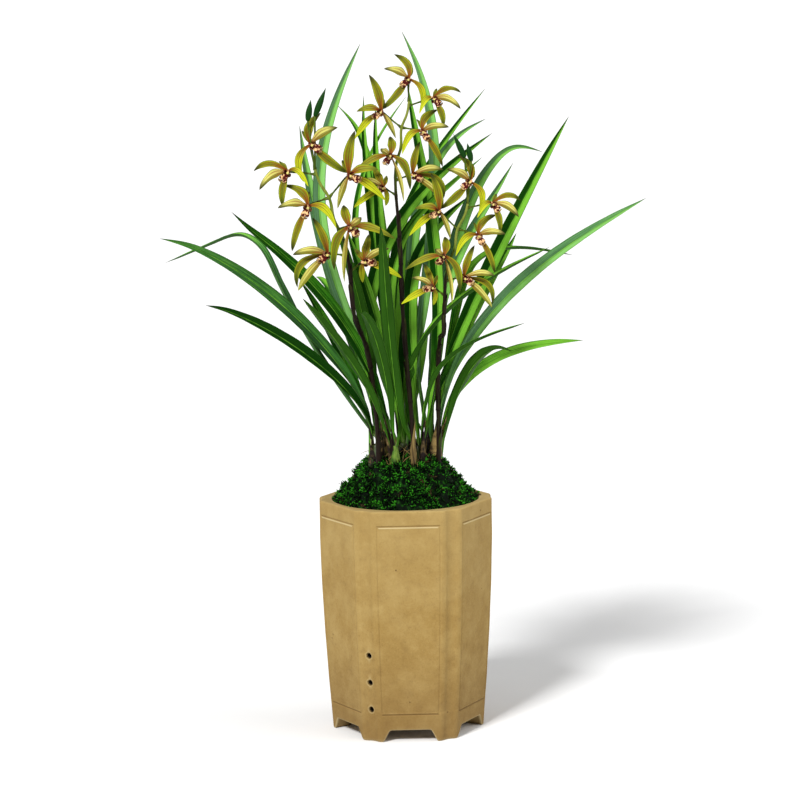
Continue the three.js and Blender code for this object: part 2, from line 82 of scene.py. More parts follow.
class OrchidPotLooks(bpy.types.PropertyGroup):
    """Sizes and colours of the pot and of what shows at its mouth."""
    apothem: length("Apothem", "Axis to the middle of a face, at the widest", -POT_LOW.y)
    height: length("Height", "Foot to rim", POT_HIGH.z)
    corner_reach: length("Corner reach", "Axis to the flat that cuts off each corner", POT_HIGH.x)
    flute_width: length("Flute width", "Across the hollow in each corner", 15 * MM)
    flute_depth: length("Flute depth", "Of the hollow in each corner", 2 * MM)
    belly_height: length("Belly height", "The sides draw in below this", 215 * MM)
    belly_draw: share("Belly draw", "How far the sides draw in at the foot", 0.122)
    opening_radius: length("Opening radius", "Inside of the round mouth", 78.7 * MM)
    rim_round: length("Rim rounding", "Of the rim's outer edge", 2.2 * MM)
    foot_recess: length("Foot recess", "Height of the openings between the feet", 12.8 * MM)
    line_depth: length("Line depth", "Of the incised panel lines", 0.9 * MM)
    clay: colour("Clay", "Unglazed stoneware", (0.282, 0.178, 0.05))
    # also the painted light that makes the pot paler towards the rim
    clay_pale_and_lit: colour("Pale clay", "Worn edges and the lighter clouds", (0.41, 0.295, 0.112))
    clay_dark: colour("Dark clay", "Darker clouds, lines and specks", (0.125, 0.066, 0.02))
    clay_worn: colour("Worn clay", "Edges, and the lips of lines and holes", (0.6, 0.5, 0.28))
    # the painted shade, nearly black, that stands for the dark inside of a weep hole
    clay_hole_shade: colour("Hole", "Inside of the weep holes", (0.004, 0.002, 0.001))
    moss_dark: colour("Dark moss", "Shaded moss", (0.001, 0.004, 0.001))
    moss_bright: colour("Bright moss", "Most tips", (0.04, 0.29, 0.012))
    moss_lit: colour("Lit moss", "The few palest tips", (0.2, 0.46, 0.12))
    moss_brown: colour("Brown moss", "Dry bits", (0.05, 0.034, 0.014))


class OrchidPlantLooks(bpy.types.PropertyGroup):
    """Sizes and colours of the leaves, shoots and flowers."""
    leaf_thickness: length("Leaf thickness", "Between the two faces beside the midrib", 0.7 * MM)
    tepal_width: length("Tepal width", "Of the broadest tepals", 9.4 * MM)
    stem_radius: length("Stem radius", "Of a flower stem at its foot", 2.3 * MM)
    leaf_green: colour("Leaf green", "Most of a leaf", (0.03, 0.175, 0.007))
    leaf_dark: colour("Dark leaf", "Shaded halves, veins and old leaves", (0.0035, 0.036, 0.0015))
    # also the painted light on the leaf halves that face the light and on the top leaves
    leaf_pale_and_lit: colour("Pale leaf", "Young leaves, midribs and margins", (0.185, 0.48, 0.038))
    # the bluish colour of a painted sheen, a painted reflection on the glossy upper and outer leaves
    leaf_sheen_blue: colour("Bluish leaf", "Bloom on the upper and outer leaves", (0.26, 0.5, 0.27))
    leaf_foot: colour("Leaf foot", "Margins where a leaf leaves its shoot", (0.5, 0.46, 0.22))
    bulb_green: colour("Bulb green", "The one green pseudobulb", (0.13, 0.22, 0.025))
    stem_green: colour("Stem green", "Flower stems between the flowers", (0.2, 0.23, 0.035))
    straw: colour("Straw", "Fresh dry sheaths", (0.3, 0.205, 0.07))
    bark: colour("Bark brown", "Old sheaths and stem feet", (0.01, 0.0048, 0.0028))
    tepal_olive: colour("Olive tepal", "Upper tepals", (0.15, 0.155, 0.007))
    tepal_green: colour("Green tepal", "Side tepals", (0.08, 0.13, 0.006))
    tepal_yellow: colour("Yellow tepal", "Hanging tepals", (0.48, 0.54, 0.012))
    # also the painted light on the lit half of a petal
    tepal_cream_and_lit: colour("Cream tepal", "Inner face of the petals", (0.7, 0.66, 0.17))
    tepal_rust: colour("Rust", "Bases and lines of the tepals", (0.29, 0.045, 0.011))
    # also the painted shade on the shaded half of a petal
    tepal_tip_and_shade: colour("Tepal tip", "Darkened points and margins", (0.014, 0.018, 0.003))
    lip_cream: colour("Lip cream", "Ground of the lip", (0.86, 0.55, 0.26))
    lip_maroon: colour("Lip maroon", "Blotches of the lip", (0.07, 0.005, 0.004))


# ------------------------------------------------------------------------------------- mesh tools

CROWDING = 0.85                   # below 1, it moves a blade's points towards its edges
MIDRIB_ROUNDING = 0.012
KEEL_WIDTH = 0.13                 # as a share of the blade's half width


def smoothstep(low, high, value):
    """0 below low, 1 above high, and 3q^2 - 2q^3 of the share q between them."""
    q = np.clip((np.asarray(value, float) - low) / (high - low), 0, 1)
    return q * q * (3 - 2 * q)


def unit(vectors):
    """Each vector divided by its length."""
    return vectors / np.maximum(np.linalg.norm(vectors, axis=-1, keepdims=True), 1e-12)


def spline(rows, count):
    """Rows of numbers carried along a natural cubic spline through the given rows.

    The first three numbers of a row are its point, and the knots lie as far apart as the points do.
    The second derivatives come from the usual linear system, and are zero at both ends."""
    rows = np.asarray(rows, float)
    gaps = np.linalg.norm(np.diff(rows[:, :3], axis=0), axis=1)
    knots = np.concatenate([[0], np.cumsum(gaps)])
    inner = np.arange(1, len(rows) - 1)
    system = np.eye(len(rows))
    system[inner, inner - 1] = gaps[:-1]
    system[inner, inner] = 2 * (gaps[:-1] + gaps[1:])
    system[inner, inner + 1] = gaps[1:]
    slopes = np.diff(rows, axis=0) / gaps[:, None]
    turns = np.zeros_like(rows)
    turns[inner] = 6 * np.diff(slopes, axis=0)
    bends = np.linalg.solve(system, turns)
    at = np.linspace(0, knots[-1], count)
    low = np.clip(np.searchsorted(knots, at, side="right") - 1, 0, len(rows) - 2)
    gap = gaps[low][:, None]
    q = (at - knots[low])[:, None] / gap
    p = 1 - q
    bow = (p ** 3 - p) * bends[low] + (q ** 3 - q) * bends[low + 1]
    return p * rows[low] + q * rows[low + 1] + bow * gap ** 2 / 6


def frame_along(path, facing):
    """Normal and across of a path: the normal is facing, made square to the tangent, and across is
    tangent x normal."""
    tangent = unit(np.gradient(path, axis=0))
    facing = np.broadcast_to(facing, path.shape)
    normal = unit(facing - (facing * tangent).sum(axis=1, keepdims=True) * tangent)
    return normal, np.cross(tangent, normal)


def blade(path, facing, half, fold, thickness, cup=0.0, keel=0.0, sides=9, wave=0.0):
    """Rings of a thin blade along a path, where each point lies across it, from -1 to 1, and whether it
    is on the upper side.

    Across the upper side, t runs from edge to edge: a point stands half * t to the side and
    half * (fold * soft |t| + cup * t^2) + wave * t |t| up, where soft |t| is sqrt(t^2 + r) - sqrt(r) and
    r is the midrib's rounding.  The lower side lies thickness * sqrt(1 - t^2) under it, with a ridge of
    keel * exp(-(t / width)^2) along its middle, and less where the blade is narrower than it is thick."""
    normal, sideways = frame_along(path, facing)
    even = np.linspace(-1, 1, sides)
    over = np.sign(even) * np.abs(even) ** CROWDING
    t = np.concatenate([over, over[-2:0:-1]])
    upper = np.concatenate([np.ones(sides), np.zeros(sides - 2)])
    column = np.reshape(half, (-1, 1)) * np.ones((len(path), 1))
    soft = np.sqrt(t ** 2 + MIDRIB_ROUNDING) - math.sqrt(MIDRIB_ROUNDING)
    height = column * (np.reshape(fold, (-1, 1)) * soft + cup * t ** 2)
    height = height + np.reshape(wave, (-1, 1)) * (t * np.abs(t))
    under = np.sqrt(np.clip(1 - t ** 2, 0, 1)) * thickness + keel * np.exp(-(t / KEEL_WIDTH) ** 2)
    height = height - (1 - upper) * under * np.minimum(1, column / (2 * thickness))
    grid = path[:, None] + sideways[:, None] * (column * t)[..., None] + normal[:, None] * height[..., None]
    return grid, t, upper


def rod(path, radius, sides=8, facing=FRONT, flat=1.0):
    """Rings of a round rod along a path: radius at each point, times flat along the facing."""
    normal, sideways = frame_along(path, facing)
    turn = np.linspace(0, 2 * math.pi, sides, endpoint=False)
    column = np.reshape(radius, (-1, 1)) * np.ones((len(path), 1))
    aside, forward = column * np.cos(turn), column * np.sin(turn) * flat
    return path[:, None] + sideways[:, None] * aside[..., None] + normal[:, None] * forward[..., None]


def wrap(path, facing, radius, half_angle, thickness, sides=11):
    """Rings of a thin sheath curled round a path, and where each point lies along its arc, from -1 to 1:
    the arc goes half_angle to either side of the facing at the radius, and back again a thickness
    nearer to the path."""
    normal, sideways = frame_along(path, facing)
    even = np.linspace(-1, 1, sides)
    t = np.concatenate([even, even[::-1]])
    inside = np.concatenate([np.zeros(sides), np.ones(sides)])
    turn = np.reshape(half_angle, (-1, 1)) * t
    reach = np.reshape(radius, (-1, 1)) - inside * thickness
    aside, forward = reach * np.sin(turn), reach * np.cos(turn)
    grid = path[:, None] + sideways[:, None] * aside[..., None] + normal[:, None] * forward[..., None]
    return grid, t


class Shell:
    """Gathers closed surfaces into one mesh, with a UV pair and named numbers at each point."""

    def __init__(self):
        self.points = []
        self.quads = []
        self.triangles = []
        self.pairs = []
        self.marks = {}
        self.count = 0

    def take(self, points, pairs, marks, quads, triangles):
        """Adds a body, and turns its faces round if its signed volume says that they look inwards."""
        corners = np.concatenate([triangles, quads[:, [0, 1, 2]], quads[:, [0, 2, 3]]])
        a, b, c = (points[corners[:, k]] - points[0] for k in range(3))
        if (np.cross(a, b) * c).sum() < 0:
            quads, triangles = quads[:, ::-1], triangles[:, ::-1]
        self.points.append(points)
        self.pairs.append(pairs)
        self.quads.append(quads + self.count)
        self.triangles.append(triangles + self.count)
        for name, values in marks.items():
            self.marks.setdefault(name, []).append(values)
        self.count += len(points)

    def add_rings(self, grid, pairs, closed_end=True, **marks):
        """A grid [ring, side] that closes round each ring, and by a fan at both ends or on itself."""
        rings, sides = grid.shape[:2]
        index = np.arange(rings * sides).reshape(rings, sides)
        beside = np.roll(index, -1, axis=1)
        rows = slice(0, rings - 1) if closed_end else slice(0, rings)
        above, above_beside = np.roll(index, -1, axis=0), np.roll(beside, -1, axis=0)
        quads = np.stack([index, above, above_beside, beside], axis=-1)[rows].reshape(-1, 4)

        def flat(values):
            full = np.broadcast_to(np.asarray(values, float), (rings, sides))
            return np.concatenate([full.ravel(), full[[0, -1]].mean(axis=1)]) if closed_end else full.ravel()

        points, triangles = grid.reshape(-1, 3), np.zeros((0, 3), int)
        if closed_end:
            points = np.concatenate([points, grid[[0, -1]].mean(axis=1)])
            first, last = rings * sides, rings * sides + 1
            triangles = np.concatenate([
                np.stack([np.full(sides, first), index[0], beside[0]], axis=-1),
                np.stack([np.full(sides, last), beside[-1], index[-1]], axis=-1),
            ])
        pairs = np.stack([flat(pairs[0]), flat(pairs[1])], axis=-1)
        self.take(points, pairs, {name: flat(values) for name, values in marks.items()}, quads, triangles)

    def piece(self, name, material, slot, replaces=()):
        """Makes the object, which rides on the part's one body."""
        points, pairs = np.concatenate(self.points), np.concatenate(self.pairs)
        quads, triangles = np.concatenate(self.quads), np.concatenate(self.triangles)
        corners = np.concatenate([quads.ravel(), triangles.ravel()]).astype(np.int32)
        sizes = np.concatenate([np.full(len(quads), 4), np.full(len(triangles), 3)])
        starts = np.concatenate([[0], np.cumsum(sizes)[:-1]]).astype(np.int32)
        mesh = bpy.data.meshes.new(name)
        mesh.vertices.add(len(points))
        mesh.loops.add(len(corners))
        mesh.polygons.add(len(sizes))
        mesh.vertices.foreach_set("co", points.astype(np.float32).ravel())
        mesh.loops.foreach_set("vertex_index", corners)
        mesh.polygons.foreach_set("loop_start", starts)
        mesh.polygons.foreach_set("use_smooth", np.ones(len(sizes), bool))
        layer = mesh.uv_layers.new(name="grain")
        layer.data.foreach_set("uv", pairs[corners].astype(np.float32).ravel())
        for mark, values in self.marks.items():
            attribute = mesh.attributes.new(mark, "FLOAT", "POINT")
            attribute.data.foreach_set("value", np.concatenate(values).astype(np.float32))
        mesh.update()
        if mesh.validate():
            raise RuntimeError(f"{name} has broken faces")
        made = bpy.data.objects.new(name, mesh)
        bpy.context.scene.collection.objects.link(made)
        mesh.materials.append(material)
        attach(made, BODY)
        if replaces:
            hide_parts(*replaces)


# -------------------------------------------------------------------------------------- material tools

class Finish:
    """One procedural material, built node by node: each method returns the output that it makes."""

    def __init__(self, name, roughness=0.5, specular=0.5):
        self.material = bpy.data.materials.new(name)
        self.material.use_nodes = True
        self.tree = self.material.node_tree
        self.tree.nodes.clear()
        self.shader = self.node("ShaderNodeBsdfPrincipled")
        output = self.node("ShaderNodeOutputMaterial")
        self.tree.links.new(self.shader.outputs["BSDF"], output.inputs["Surface"])
        self.shader.inputs["Roughness"].default_value = roughness
        self.shader.inputs["Specular IOR Level"].default_value = specular

    def node(self, kind, **settings):
        made = self.tree.nodes.new(kind)
        for name, value in settings.items():
            setattr(made, name, value)
        return made

    def put(self, socket, value):
        """Links a node's output to the socket, or sets the socket to a number or a colour."""
        if isinstance(value, bpy.types.NodeSocket):
            self.tree.links.new(value, socket)
        elif hasattr(value, "__len__") and len(value) == 3 and len(socket.default_value) == 4:
            socket.default_value = (*value, 1)
        else:
            socket.default_value = value

    def place(self, scale=(1, 1, 1)):
        """The object's own coordinates in metres, stretched by the scale."""
        coords = self.node("ShaderNodeTexCoord").outputs["Object"]
        return self.stretch(coords, scale)

    def stretch(self, vector, scale):
        """The vector, times the scale in each direction."""
        mapping = self.node("ShaderNodeMapping")
        self.put(mapping.inputs["Vector"], vector)
        mapping.inputs["Scale"].default_value = scale
        return mapping.outputs["Vector"]

    def grain_uv(self):
        """The piece's own UV pair: along it and across it."""
        return self.node("ShaderNodeUVMap", uv_map="grain").outputs["UV"]

    def part_of(self, vector, axis):
        """One of a vector's three numbers, counted from 0."""
        split = self.node("ShaderNodeSeparateXYZ")
        self.put(split.inputs[0], vector)
        return split.outputs[axis]

    def mark(self, name):
        """A number that the piece's mesh holds at each point."""
        return self.node("ShaderNodeAttribute", attribute_name=name).outputs["Fac"]

    def noise(self, vector, scale, detail=3.0, rough=0.55):
        """Cloudy noise from 0 to 1, with about scale clouds to the vector's unit."""
        made = self.node("ShaderNodeTexNoise")
        self.put(made.inputs["Vector"], vector)
        made.inputs["Scale"].default_value = scale
        made.inputs["Detail"].default_value = detail
        made.inputs["Roughness"].default_value = rough
        return made.outputs["Fac"]

    def cells(self, vector, scale, output="Distance"):
        """The distance to the middle of the nearest cell, or the cell's random "Color"."""
        made = self.node("ShaderNodeTexVoronoi")
        self.put(made.inputs["Vector"], vector)
        made.inputs["Scale"].default_value = scale
        return made.outputs[output]

    def number(self, operation, a, b=0.0):
        """The result of one sum, product or other operation on a and b."""
        made = self.node("ShaderNodeMath", operation=operation)
        self.put(made.inputs[0], a)
        self.put(made.inputs[1], b)
        return made.outputs[0]

    def ramp(self, value, low, high, to_low=0.0, to_high=1.0):
        """Smoothly from to_low, where the value is low, to to_high, where it is high."""
        made = self.node("ShaderNodeMapRange", interpolation_type="SMOOTHSTEP")
        self.put(made.inputs["Value"], value)
        for name, number in zip(("From Min", "From Max", "To Min", "To Max"), (low, high, to_low, to_high)):
            made.inputs[name].default_value = number
        return made.outputs["Result"]

    def mix(self, amount, under, over):
        """From the colour under, where the amount is 0, to the colour over, where it is 1."""
        made = self.node("ShaderNodeMix", data_type="RGBA")
        self.put(made.inputs[0], amount)
        self.put(made.inputs[6], under)
        self.put(made.inputs[7], over)
        return made.outputs[2]

    def colour(self, value):
        self.put(self.shader.inputs["Base Color"], value)

    def roughness(self, value):
        self.put(self.shader.inputs["Roughness"], value)

    def bump(self, height, distance, strength=1.0):
        """Raises the surface by the height times the distance, in metres."""
        made = self.node("ShaderNodeBump")
        self.put(made.inputs["Height"], height)
        made.inputs["Distance"].default_value = distance
        made.inputs["Strength"].default_value = strength
        if self.shader.inputs["Normal"].links:
            self.put(made.inputs["Normal"], self.shader.inputs["Normal"].links[0].from_socket)
        self.put(self.shader.inputs["Normal"], made.outputs["Normal"])


# ------------------------------------------------------------------------------------------- pot

PANEL_HALF_WIDTH = 33 * MM        # of the incised panels, at the widest
PANEL_BOTTOM = 30 * MM
PANEL_TOP = 234 * MM
LINE_HALF_WIDTH = 0.75 * MM
LINE_BAND = 1.5 * MM              # on either side of a panel's side lines the outline's points are close
SIDE_LINE_DEPTH = 0.5             # of the lines along a panel's sides, as a share of its end lines'
LIP_HEIGHT = 0.3 * MM             # of the clay pushed up inside an end line
LIP_AWAY = 1.9                    # from the line's middle to its lip's, in half widths of the line
BELL_WIDTH = 2.4                  # of the curve that rounds the outline's edges, in fine points
FINE_FACE = 160                   # fine points along a face and across a corner
FINE_FLUTE = 54
FLOOR_TOP = 20 * MM
INSIDE_LEVELS = np.array([246, 240, 225, 200, 160, 120, 80, 45, 28, 23]) * MM
MOUTH_ROUND = 1.2 * MM            # of the rim's inner edge
DRAIN_RADIUS = 12 * MM
FOOT_GAP_HALF_TOP = 22 * MM       # half of the opening between two feet, at its top and at the ground
FOOT_GAP_HALF_BOTTOM = 29 * MM
FOOT_GAP_SOFTNESS = 0.07          # rounding of the gaps' corners, as a share of their height
FOOT_RING_INSIDE = 62 * MM
FOOT_EDGE = ((0.0, 1.3 * MM, 0.5), (0.3 * MM, 0.5 * MM, 0.6), (1.1 * MM, 0.0, 0.3))  # rise, inset, wear
WALL_START = 18 * MM              # height of the first level row
WEEP_RADIUS = 3 * MM
WEEP_HEIGHTS = np.array([35, 64.5, 94]) * MM
WEEP_CORNERS = (0, 2, 4)
WEEP_DIP = 7 * MM
COLLAR_HEIGHT = 0.5 * MM          # of the clay pushed up round a weep hole
COLLAR_AWAY = 1.32                # from the hole's middle, in radii of the hole
UNEVEN = 0.25 * MM                # how far the hand-made wall strays inwards
DARK_FOOT_HEIGHT = 130 * MM            # the darker foot fades out by this height


def belly(pot, height):
    """The sides' size at a height as a share of the widest: 1 - draw * (1 - height / belly)^1.6."""
    return 1 - pot.belly_draw * np.clip(1 - height / pot.belly_height, 0, 1) ** 1.6


def pot_outline(pot):
    """The outline at its widest, once round: place along a face, place across a corner, and the point.

    Each sixth is a flat face and then a narrow flat across the corner, with the parabola
    depth * (1 - (2w / width)^2) hollowed out of its middle.  The whole is smoothed by a bell curve
    along its length, which rounds the edges."""
    turn = SIXTH / 2
    corner_half = (pot.apothem / math.cos(turn) - pot.corner_reach) * math.sqrt(3)
    flat_half = pot.apothem * math.tan(turn) - corner_half / math.cos(turn)
    end = pot.flute_width / 2

    # the places wanted: closer beside the foot gaps' slanted ends and the side lines, and in the flute
    line = PANEL_HALF_WIDTH
    half = np.concatenate([
        np.linspace(0, FOOT_GAP_HALF_TOP, 6, endpoint=False),
        np.linspace(FOOT_GAP_HALF_TOP, line - LINE_BAND, 12, endpoint=False),
        np.linspace(line - LINE_BAND, line + LINE_BAND, 9),
        np.linspace(line + 1.4 * LINE_BAND, flat_half, 2, endpoint=False),
    ])
    face = np.concatenate([-half[:0:-1], half])
    beside = np.linspace(end, corner_half, 5)[:-1]
    flute = np.concatenate([-beside[:0:-1], np.linspace(-end, end, 23), beside[1:]])

    # the whole outline in fine even steps, smoothed
    fine_face = np.linspace(-flat_half, flat_half, FINE_FACE, endpoint=False)
    fine_flute = np.linspace(-corner_half, corner_half, FINE_FLUTE, endpoint=False)
    reach = pot.corner_reach - pot.flute_depth * np.clip(1 - (fine_flute / end) ** 2, 0, 1)
    x = np.concatenate([
        np.full(FINE_FACE, pot.apothem), reach * math.cos(turn) - fine_flute * math.sin(turn)])
    y = np.concatenate([fine_face, reach * math.sin(turn) + fine_flute * math.cos(turn)])
    angles = (np.arange(CORNERS) * 2 + 1) * turn
    around = np.array([
        (x * math.cos(a) - y * math.sin(a), x * math.sin(a) + y * math.cos(a)) for a in angles])
    ring = around.transpose(0, 2, 1).reshape(-1, 2)
    count = len(ring)
    spread = np.minimum(np.arange(count), count - np.arange(count))
    bell = np.exp(-(spread / BELL_WIDTH) ** 2)
    smooth = np.fft.ifft(np.fft.fft(ring, axis=0) * np.fft.fft(bell / bell.sum())[:, None], axis=0).real

    # each wanted place lies between two fine points
    step = count // CORNERS
    fine_place = np.concatenate([fine_face, flat_half + fine_flute + corner_half])
    wanted = np.concatenate([face, flat_half + flute + corner_half])
    at = np.interp(wanted, fine_place, np.arange(step))
    at = (np.arange(CORNERS)[:, None] * step + at).ravel()
    low = at.astype(int) % count
    q = (at - np.floor(at))[:, None]
    points = smooth[low] * (1 - q) + smooth[(low + 1) % count] * q
    place = np.concatenate([face, np.full(len(flute), 2 * flat_half)])
    across = np.concatenate([np.full(len(face), 2 * corner_half), flute])
    return np.tile(place, CORNERS), np.tile(across, CORNERS), points


def foot_height(pot, points):
    """Height of the pot's lower edge at a point: 0 on the feet and the recess between them, with the
    slanted sides of each gap joined to both by soft minimum and maximum."""
    turn = np.arctan2(points[..., 1], points[..., 0])
    off = turn - (np.floor(turn / SIXTH) + 0.5) * SIXTH
    beside = np.abs(np.hypot(points[..., 0], points[..., 1]) * np.sin(off))
    slope = (FOOT_GAP_HALF_BOTTOM - beside) / (FOOT_GAP_HALF_BOTTOM - FOOT_GAP_HALF_TOP)
    soft = FOOT_GAP_SOFTNESS
    capped = -soft * np.logaddexp(-slope / soft, -1 / soft)
    return pot.foot_recess * soft * np.logaddexp(capped / soft, 0)


def stoneware(pot):
    """Unglazed clay: faint clouds and wiping marks, a fine speckle, a few dark pits, pale worn edges,
    darker incised lines, weep holes painted nearly black as painted shade, paler towards the rim as painted
    light, and darker towards the foot."""
    clay = Finish("stoneware", roughness=0.85, specular=0.2)
    place = clay.place()
    clouds = clay.noise(place, 26, 6, 0.6)
    wiped = clay.noise(clay.place((70, 70, 9)), 1, 5)
    fine = clay.noise(place, 520, 4, 0.75)
    blots = clay.noise(place, 85, 5, 0.7)
    tint = clay.mix(clay.ramp(clouds, 0.35, 0.75, 0, 0.42), pot.clay, pot.clay_pale_and_lit)
    tint = clay.mix(clay.ramp(blots, 0.48, 0.72, 0, 0.24), tint, pot.clay_dark)
    tint = clay.mix(clay.ramp(blots, 0.5, 0.28, 0, 0.3), tint, pot.clay_pale_and_lit)
    tint = clay.mix(clay.ramp(wiped, 0.5, 0.25, 0, 0.08), tint, pot.clay_dark)
    tint = clay.mix(clay.ramp(fine, 0.5, 0.8, 0, 0.42), tint, pot.clay_dark)
    tint = clay.mix(clay.ramp(fine, 0.45, 0.2, 0, 0.35), tint, pot.clay_pale_and_lit)
    height = clay.number("ADD", clay.part_of(place, 2), clay.ramp(clouds, 0.2, 0.8, -14 * MM, 14 * MM))
    # darker towards the foot
    tint = clay.mix(clay.ramp(height, DARK_FOOT_HEIGHT, -10 * MM, 0, 0.5), tint, pot.clay_dark)
    # painted light: paler towards the rim
    tint = clay.mix(clay.ramp(height, 100 * MM, 240 * MM, 0, 0.25), tint, pot.clay_pale_and_lit)
    tint = clay.mix(clay.ramp(clay.mark("wear"), 0, 1, 0, 0.75), tint, pot.clay_worn)
    # darker in the incised lines
    tint = clay.mix(clay.ramp(clay.mark("groove"), 0.1, 1, 0, 0.92), tint, pot.clay_dark)
    # painted shade: a weep hole's dip is painted nearly black for its dark inside
    tint = clay.mix(clay.ramp(clay.mark("hole"), 0.1, 0.9), tint, pot.clay_hole_shade)
    spots = clay.cells(place, 75)
    chosen = clay.part_of(clay.cells(place, 75, "Color"), 0)
    pit = clay.number("MULTIPLY", clay.ramp(spots, 0.085, 0.05), clay.ramp(chosen, 0.86, 0.88))
    tint = clay.mix(clay.number("MULTIPLY", pit, 0.75), tint, pot.clay_dark)
    clay.colour(tint)
    clay.roughness(clay.ramp(fine, 0.3, 0.8, 0.78, 0.94))
    clay.bump(fine, 0.22 * MM, 0.7)
    clay.bump(clay.noise(place, 90, 4), 0.4 * MM, 0.5)
    clay.bump(pit, -0.5 * MM)
    return clay.material


class PotRows:
    """The rows that a pot is made of: each holds a point, a height and the wear, groove and hole marks
    for every place of the outline."""

    def __init__(self, pot):
        self.place, self.across, self.outline = pot_outline(pot)
        self.turn = np.arctan2(self.outline[:, 1], self.outline[:, 0])
        self.circle = np.stack([np.cos(self.turn), np.sin(self.turn)], axis=-1)
        self.rows = []

    def add(self, points, height, wear=0.0, groove=0.0, hole=0.0):
        """One more row: its points from above, and numbers that hold for all of it or for each place."""
        numbers = [np.broadcast_to(n, self.turn.shape) for n in (height, wear, groove, hole)]
        self.rows.append(np.stack([points[:, 0], points[:, 1], *numbers], axis=-1))


def add_foot_rows(wall, pot):
    """The rounded lower edge of the feet and the gaps, and rows that go from its height to a level one:
    a share q of the way up, a row is at edge + (start - edge) * q."""
    low_edge = foot_height(pot, wall.outline * belly(pot, 0))
    for rise, inset, wear in FOOT_EDGE:
        level = low_edge + rise
        wall.add(wall.outline * (belly(pot, level)[:, None] - inset / pot.apothem), level, wear)
    edge = low_edge + FOOT_EDGE[-1][0]
    for q in np.linspace(0.15, 1, 7):
        level = edge + (WALL_START - edge) * q
        wall.add(wall.outline * belly(pot, level)[:, None], level, 0.1 * (1 - q))


def wall_levels():
    """Heights of the level rows: close together at the weep holes and at the panels' end lines, and
    7 mm apart elsewhere."""
    holes = [height + np.linspace(-4.2, 4.2, 15) * MM for height in WEEP_HEIGHTS]
    lines = [height + np.linspace(-3.6, 2.4, 16) * MM for height in (PANEL_BOTTOM, PANEL_TOP)]
    close = np.concatenate([*holes, *lines])
    plain = np.arange(21, 247, 7) * MM
    clear = np.abs(plain[:, None] - close).min(axis=1) > 2.5 * MM
    return np.sort(np.concatenate([close, plain[clear]]))


def add_wall_rows(wall, pot):
    """The faces with their incised panels, and the corners with their weep holes.

    away is the distance from a panel's outline, below 0 inside it.  The line is cut in by
    depth * exp(-(away / half width)^2), and beside an end line the same bell curve raises a lip.
    reach is the distance from the nearest hole's middle, in radii: the hole is a dip that ends at
    reach 1.05, and a bell curve raises a collar round it."""
    facing = (np.floor(wall.turn / SIXTH) + 0.5) * SIXTH
    face_normal = np.stack([np.cos(facing), np.sin(facing)], axis=-1)
    corner = np.round(wall.turn / SIXTH).astype(int) % CORNERS
    pierced = np.isin(corner, WEEP_CORNERS) & (np.abs(wall.across) < pot.flute_width)
    middle, half = (PANEL_TOP + PANEL_BOTTOM) / 2, (PANEL_TOP - PANEL_BOTTOM) / 2
    beyond_side = np.abs(wall.place) - PANEL_HALF_WIDTH
    for level in wall_levels():
        beyond_end = abs(level - middle) - half
        outside = np.hypot(np.maximum(beyond_side, 0), max(beyond_end, 0))
        away = outside + np.minimum(np.maximum(beyond_side, beyond_end), 0)
        at_end = beyond_end > beyond_side
        groove = np.where(at_end, 1.0, SIDE_LINE_DEPTH) * np.exp(-(away / LINE_HALF_WIDTH) ** 2)
        lip = np.exp(-((away + LIP_AWAY * LINE_HALF_WIDTH) / LINE_HALF_WIDTH) ** 2) * at_end
        reach = np.hypot(wall.across, np.abs(level - WEEP_HEIGHTS).min()) / WEEP_RADIUS
        reach = np.where(pierced, reach, np.inf)
        dip = WEEP_DIP * smoothstep(1.05, 0.8, reach)
        collar = COLLAR_HEIGHT * np.exp(-((reach - COLLAR_AWAY) / 0.22) ** 2)
        points = wall.outline * belly(pot, level)
        points = points - face_normal * (pot.line_depth * groove - LIP_HEIGHT * lip)[:, None]
        points = points - wall.circle * (dip - collar)[:, None]

        # the incised lines are darker along the lower end line than along the upper one
        lip_wear, line_darkening = (0.75, 0.6) if level > middle else (0.1125, 0.85)
        wear = lip_wear * lip + 0.4 * np.exp(-((reach - COLLAR_AWAY) / 0.25) ** 2)
        # the last number sets where a weep hole gets its painted shade
        wall.add(points, level, wear, groove * line_darkening, smoothstep(1.12, 0.9, reach))


def add_rim_rows(wall, pot):
    """Over the rim: a quarter circle outside, a flat top that goes from the outline to the round mouth,
    and a quarter circle down into it."""
    for bow in np.radians(np.linspace(0, 90, 6)):
        size = 1 - pot.rim_round * (1 - math.cos(bow)) / pot.apothem
        level = pot.height - pot.rim_round * (1 - math.sin(bow))
        wall.add(wall.outline * size, level, 0.25 * math.sin(bow))
    edge = wall.outline * (1 - pot.rim_round / pot.apothem)
    for q in (0.35, 0.7):
        wall.add(edge * (1 - q) + wall.circle * (pot.opening_radius + MOUTH_ROUND) * q, pot.height, 0.2)
    for bow in np.radians(np.linspace(0, 90, 4)):
        radius = pot.opening_radius + MOUTH_ROUND * (1 - math.sin(bow))
        wall.add(wall.circle * radius, pot.height - MOUTH_ROUND * (1 - math.cos(bow)), 0.4)


def add_inside_rows(wall, pot):
    """Down the round inside, which draws in as the outside does, over the floor and into the drain."""
    for level in INSIDE_LEVELS:
        wall.add(wall.circle * pot.opening_radius * belly(pot, level), level)
    wall.add(wall.circle * (pot.opening_radius * belly(pot, FLOOR_TOP) - 1.5 * MM), FLOOR_TOP + 0.6 * MM)
    for radius in (60, 36, 14):
        wall.add(wall.circle * radius * MM, FLOOR_TOP)
    wall.add(wall.circle * DRAIN_RADIUS, FLOOR_TOP - 1.2 * MM)
    wall.add(wall.circle * DRAIN_RADIUS, pot.foot_recess + 1 * MM)


